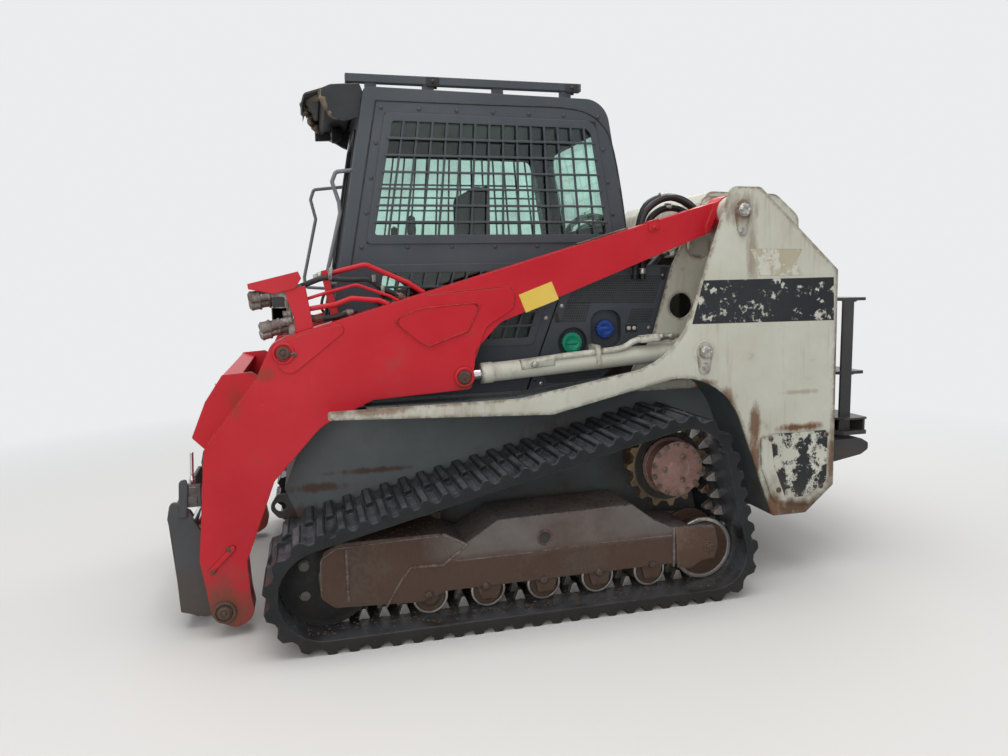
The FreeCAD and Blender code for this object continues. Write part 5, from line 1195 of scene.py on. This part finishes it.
def stuffedPad(name, low, high, corner):
    piece = addObject(name, padMesh(low, high, corner))
    remesh = piece.modifiers.new("remesh", "REMESH")
    remesh.mode = "VOXEL"
    remesh.voxel_size = seatLook["voxel"]
    applied(piece)
    before = [v.co.copy() for v in piece.data.vertices]
    cloth = piece.modifiers.new("stuffing", "CLOTH")
    cloth.settings.use_pressure = True
    cloth.settings.uniform_pressure_force = seatLook["pressure"]
    cloth.settings.effector_weights.gravity = 0.0
    for number in range(1, seatLook["frames"] + 1):
        scene.frame_set(number)
    applied(piece)
    scene.frame_set(1)
    for vertex, start in zip(piece.data.vertices, before):
        move = vertex.co - start
        if move.length > seatLook["swell"]:
            vertex.co = start + move.normalized() * seatLook["swell"]
    rounding = piece.modifiers.new("soft", "SUBSURF")
    rounding.levels = rounding.render_levels = 1
    applied(piece)
    piece.data.materials.clear()
    piece.data.materials.append(finishes["seatFabric"])
    piece.data.shade_smooth()
    attach(piece, "chassis", stands="seat")


for name, low, high, corner in seatLook["pads"]:
    stuffedPad(name, low, high, corner)
finishPiece("seat_shell", [
    slab([(272, 985), (630, 985), (606, 1240), (292, 1240)], -160, 160),
    slab([(262, 1240), (640, 1240), (700, 1262), (742, 1290), (742, 1306), (250, 1298)],
         -222, 222),
    slab([(200, 1300), (262, 1300), (222, 1420), (212, 1960), (193, 1960)], -220, 220),
    brick((300, -238, 1252), (560, -222, 1292)), brick((300, 222, 1252), (560, 238, 1292))],
    "blackPlastic", soften=8, stands="seat")
print("seat made")


# cab: gaskets, wiper, handle, lamps' lenses, broken visor's foam

def frameOf(outline, grow, y, tall):
    # a thin ring round an outline, as a closed square section
    cx, cz = (sum(p[i] for p in outline) / len(outline) for i in (0, 1))
    corners, faces = [], []
    for level in (y, y + tall):
        for size in (0, grow):
            for x, z in outline:
                corners.append((x + math.copysign(size, x - cx), level,
                                z + math.copysign(size, z - cz)))
    count = len(outline)
    for i in range(count):
        j = (i + 1) % count
        for a, b in ((0, 1), (1, 3), (3, 2), (2, 0)):
            faces.append((a * count + i, a * count + j, b * count + j, b * count + i))
    return corners, faces


upperGlass = [(824, 1672), (723, 2222), (-250, 2215), (-339, 1672)]
doorSeam = [(906, 1562), (775, 2250), (768, 2282), (768, 2282), (735, 2282), (206, 2281),
            (-150, 2286), (-273, 2242), (-361, 2124), (-416, 1729)]
bothSides("window_gaskets", [frameOf(upperGlass, 10, 499, 3)], "blackPlastic", soften=1)
bothSides("door_seams", [pipe([(x, faceAt["cab"], z) for x, z in doorSeam], 3.6)], "blackPlastic")

frontLook = {
    "wiperArm": 7.0, "gasket": 7, "handle": 8,
    "arm": ((210, 1130, 16), (160, 1300, 24), (90, 1520, 18), (40, 1640, 8)),
    "blade": ((60, 1420), (42, 1620), (20, 1830)),
    "edge": ((-352, 1088), (352, 1088), (352, 2192), (-352, 2192), (-352, 1088)),
    "grip": ((1330, 1330, 2), (1330, 1336, 34), (1450, 1444, 34), (1450, 1450, 2)),
}


def frontX(z, out=0.0):
    # the leaning front of the cab at a height
    return 1066 - (z - 960) * 0.1797 + out


finishPiece("front_wiper", [
    pipe([(frontX(z, out), y, z) for y, z, out in frontLook["arm"]], frontLook["wiperArm"]),
    pipe([(frontX(z, 9), y, z) for y, z in frontLook["blade"]], 6),
    turned([(0, 22), (12, 22), (16, 16), (24, 10)], (frontX(1130), 210, 1130), (1, 0, 0.2), 20)],
    "blackPlastic")
finishPiece("front_gasket", [pipe([(frontX(z, 1), y, z) for y, z in frontLook["edge"]],
                                  frontLook["gasket"], order=2)], "blackPlastic")
finishPiece("front_handle", [pipe([(frontX(at, out), -392, z) for at, z, out in frontLook["grip"]],
                                  frontLook["handle"])], "blackPlastic")
railClamps = []
for x in (508, -152):
    for y in (424, 471):
        railClamps.append(slab([(x - 26, 2358), (x + 26, 2358), (x + 30, 2399), (x - 30, 2399)], y,
                               y + 5))
    railClamps.append(turned([(0, 9), (8, 9), (8, 5), (14, 5)], (x, 476, 2378), sides=6))
bothSides("rail_clamps", railClamps, "lampBody", soften=1.5)


def ragged(shape, amount, size):
    # torn: corners pushed by noise
    corners, faces = shape
    torn = [tuple(Vector(c) + amount * noise.noise_vector(Vector(c) / size)) for c in corners]
    return torn, faces


tearLine = [(1088, 318), (1092, 296), (1070, 205), (1074, 90), (1040, -20), (1050, -140),
            (1016, -245), (1026, -350), (1000, -448)]
finishPiece("visor_foam", [
    ragged(pipe([(x - 8, y, 2350 - (x - 960) * 0.33 - 16) for x, y in tearLine], 12, 3), 14, 21),
    ragged(pipe([(1004, 462, 2318), (996, 462, 2290), (984, 462, 2255), (962, 460, 2222),
                 (930, 456, 2214)], 11, 3), 12, 17),
    ragged(pipe([(985, 430, 2322), (1010, 380, 2318), (1050, 340, 2308)], 13, 3), 14, 19)],
    "tornFoam", smooth=60)
finishPiece("visor_liner", [slab([(845, 2338), (958, 2329), (1000, 2316), (980, 2300),
                                  (955, 2312), (850, 2320)], -440, 440)], "visorPlastic", soften=4)
finishPiece("lamp_lenses", [turned([(0, 42), (3, 40), (6, 30), (8, 12)], (930, y, 2290),
                                   (1, 0, 0), 32) for y in (330, -330)], "lampLens")
print("cab dressed")


# front: blank labels on the cross member, strips, brackets, keeper bar, coupler block and rod

bothSides("cross_labels", [slab(outline, 560, 584) for outline in (
    [(1500, 1076), (1467, 1020), (1468.5, 1019), (1501.5, 1075)],
    [(1517, 939), (1482, 859), (1483.5, 858), (1518.5, 938)])], "labelYellow", "lift_arms")
bothSides("arm_top_strips", [slab([(-106, 1642), (-354, 1712), (-354, 1719), (-106, 1649)],
                                  612, 664)], "fittingSteel", "lift_arms", "worn_steel", soften=1)
bothSides("hose_brackets", [
    slab([(-440, 1737), (-492, 1752), (-498, 1708), (-446, 1696)], 693, 700),
    slab([(-440, 1734), (-492, 1749), (-492, 1758), (-440, 1743)], 640, 700),
    turned([(0, 9), (7, 9), (7, 5), (9, 5)], (-468, 700, 1716), sides=6)], "redPaint",
    "lift_arms", soften=1.5)
bothSides("arm_keeper_bars", [slab([(1565, 300), (1552, 284), (1446, 388), (1458, 404)],
                                   faceAt["patch"], 713)], "redPaint", "lift_arms", soften=2)
bothSides("coupler_blocks", [brick((1590, 546, 545), (1664, 570, 642)),
                             brick((1604, 540, 560), (1650, 574, 590)),
                             brick((1604, 540, 606), (1650, 574, 634))],
          "castIron", "coupler", "dark_paint", soften=3)
bothSides("coupler_small_rods", [
    pipe([(1628, 520, 640), (1624, 520, 720), (1621, 520, 776)], 8),
    turned([(0, 14), (20, 14), (20, 10), (30, 10)], (1627, 520, 640), (0, 0, 1), 12)],
    "chromeRod", "coupler", soften=1)


# rear: bolts on the guard, lamps, latch, hood vents as black squares of painted shade, and handle

guardBolts = [((x, y, z), (0, 0, -1), (1, 0, 0)) for z in (645, 962, 1348)
              for x in (-1690, -1625) for y in (560, 330, 60, -200, -400, -560)]
runTree("guard_bolts", boltHeads, spots(guardBolts), "rustySteel", "rear_door",
        **boltLook["plain"])
doorBack = (-1508, -1499)
finishPiece("tail_lamps", [slab([(y - 32, 1390), (y + 32, 1390), (y + 32, 1450), (y - 32, 1450)],
                                *doorBack, "x") for y in (465, -465)], "redLens", "rear_door",
            soften=4)
finishPiece("rear_latch", [
    slab([(-40, 1408), (40, 1408), (40, 1452), (-40, 1452)], *doorBack, "x"),
    pipe([(-1508, -34, 1430), (-1536, -34, 1430), (-1536, 34, 1430), (-1508, 34, 1430)], 7,
         order=2)], "blackPlastic", "rear_door", soften=2)
# the hood's vent holes: black squares, painted shade
for y, word in ((490.5, "left"), (-490.5, "right")):
    holeField("hood_holes_" + word, [(-930, 1840), (-1230, 1830), (-1230, 1700), (-930, 1710)], y,
              "hood", Columns=22, Rows=10, Hole=0.0085, Deep=0.001)
finishPiece("hood_handle", [pipe([(-1378, -90, 1800), (-1412, -90, 1820), (-1412, 90, 1820),
                                  (-1378, 90, 1800)], 9, order=2)], "blackPlastic", "hood")


# hose arches with their ferrules

arches = {"y": 514.3, "radius": 16.5, "runs": (
    ((-456, 0, 1480), (-458, 0, 1800), (-590, 0, 1888), (-760, 0, 1862), (-812, 0, 1770)),
    ((-496, 0, 1480), (-498, 0, 1740), (-600, 0, 1832), (-735, 0, 1815), (-775, 0, 1745)),
    ((-440, 38, 1500), (-450, 38, 1760), (-560, 34, 1866), (-690, 16, 1876), (-796, 0, 1800)))}
bothSides("arch_hoses", [pipe([(x, arches["y"] + y, z) for x, y, z in run], arches["radius"])
                         for run in arches["runs"]], "hoseRubber", stands="hose_arches")
bothSides("hose_ferrules", [
    turned([(-14, 16), (-12, 18), (12, 18), (14, 16)], (x, arches["y"], z), way, 20)
    for x, z, way in ((-456, 1520, (0, 0, 1)), (-496, 1520, (0, 0, 1)),
                      (-600, 1882, (-1, 0, 0.1)), (-630, 1830, (-1, 0, 0)))], "platedSteel")
print("rear dressed")


# floor, light and background

studio = {"floor": (0.68, 0.67, 0.65), "sky": (0.83, 0.84, 0.85), "skyLight": 0.50,
          "fadeFrom": 1.9, "fadeTo": 6.0}
lamps = [
    {"name": "overhead", "place": (0.5, 0.5, 6.0), "aim": (0, 0, 0.8), "size": 6.0, "power": 330},
    {"name": "fill", "place": (3.0, 6.5, 3.0), "aim": (0, 0, 0.9), "size": 4.0, "power": 130},
    {"name": "rear", "place": (-4.5, -4.0, 4.0), "aim": (0, 0, 1.0), "size": 3.5, "power": 120},
]


def makeFloor(look):
    bpy.ops.mesh.primitive_plane_add(size=400.0, location=(0.0, 0.0, 0.0))
    floor = bpy.context.object
    floor.name = "floor"
    tree, surface = startMaterial("floorPaint")
    surface.inputs["Base Color"].default_value = (*look["floor"], 1.0)
    surface.inputs["Roughness"].default_value = 0.9
    # the floor runs into the background far away
    far = addNode(tree, "ShaderNodeEmission", {"Color": (*look["sky"], 1.0)})
    length = addNode(tree, "ShaderNodeVectorMath", {0: objectPlace(tree)}, operation="LENGTH")
    away = ramp(tree, length.outputs["Value"], look["fadeFrom"], look["fadeTo"])
    seen = tree.nodes.new("ShaderNodeLightPath").outputs["Is Camera Ray"]
    blend = addNode(tree, "ShaderNodeMixShader", {0: times(tree, away, seen),
                                                  1: surface.outputs[0], 2: far.outputs[0]})
    end = [n for n in tree.nodes if n.type == "OUTPUT_MATERIAL"][0]
    feed(tree, end.inputs["Surface"], blend.outputs[0])
    floor.data.materials.append(finishes["floorPaint"])


def makeSky(look):
    scene.world = bpy.data.worlds.new("studioSky")
    scene.world.use_nodes = True
    tree = scene.world.node_tree
    tree.nodes.clear()
    path = tree.nodes.new("ShaderNodeLightPath").outputs
    seen = math2(tree, "MAXIMUM", path["Is Camera Ray"],
                 math2(tree, "MAXIMUM", path["Is Glossy Ray"], path["Is Transmission Ray"]))
    dim, full = (addNode(tree, "ShaderNodeBackground", {"Color": (*look["sky"], 1.0),
                                                        "Strength": strength}).outputs[0]
                 for strength in (look["skyLight"], 1.0))
    blend = addNode(tree, "ShaderNodeMixShader", {0: seen, 1: dim, 2: full})
    addNode(tree, "ShaderNodeOutputWorld", {0: blend.outputs[0]})


def makeLamps(rows):
    for row in rows:
        data = bpy.data.lights.new(row["name"], "AREA")
        data.shape, data.size, data.energy = "SQUARE", row["size"], row["power"]
        lamp = addObject(row["name"], data)
        lamp.location = row["place"]
        aim = Vector(row["aim"]) - Vector(row["place"])
        lamp.rotation_euler = aim.to_track_quat("-Z", "Y").to_euler()


makeFloor(studio)
makeSky(studio)
makeLamps(lamps)
print("stage and lamps set")
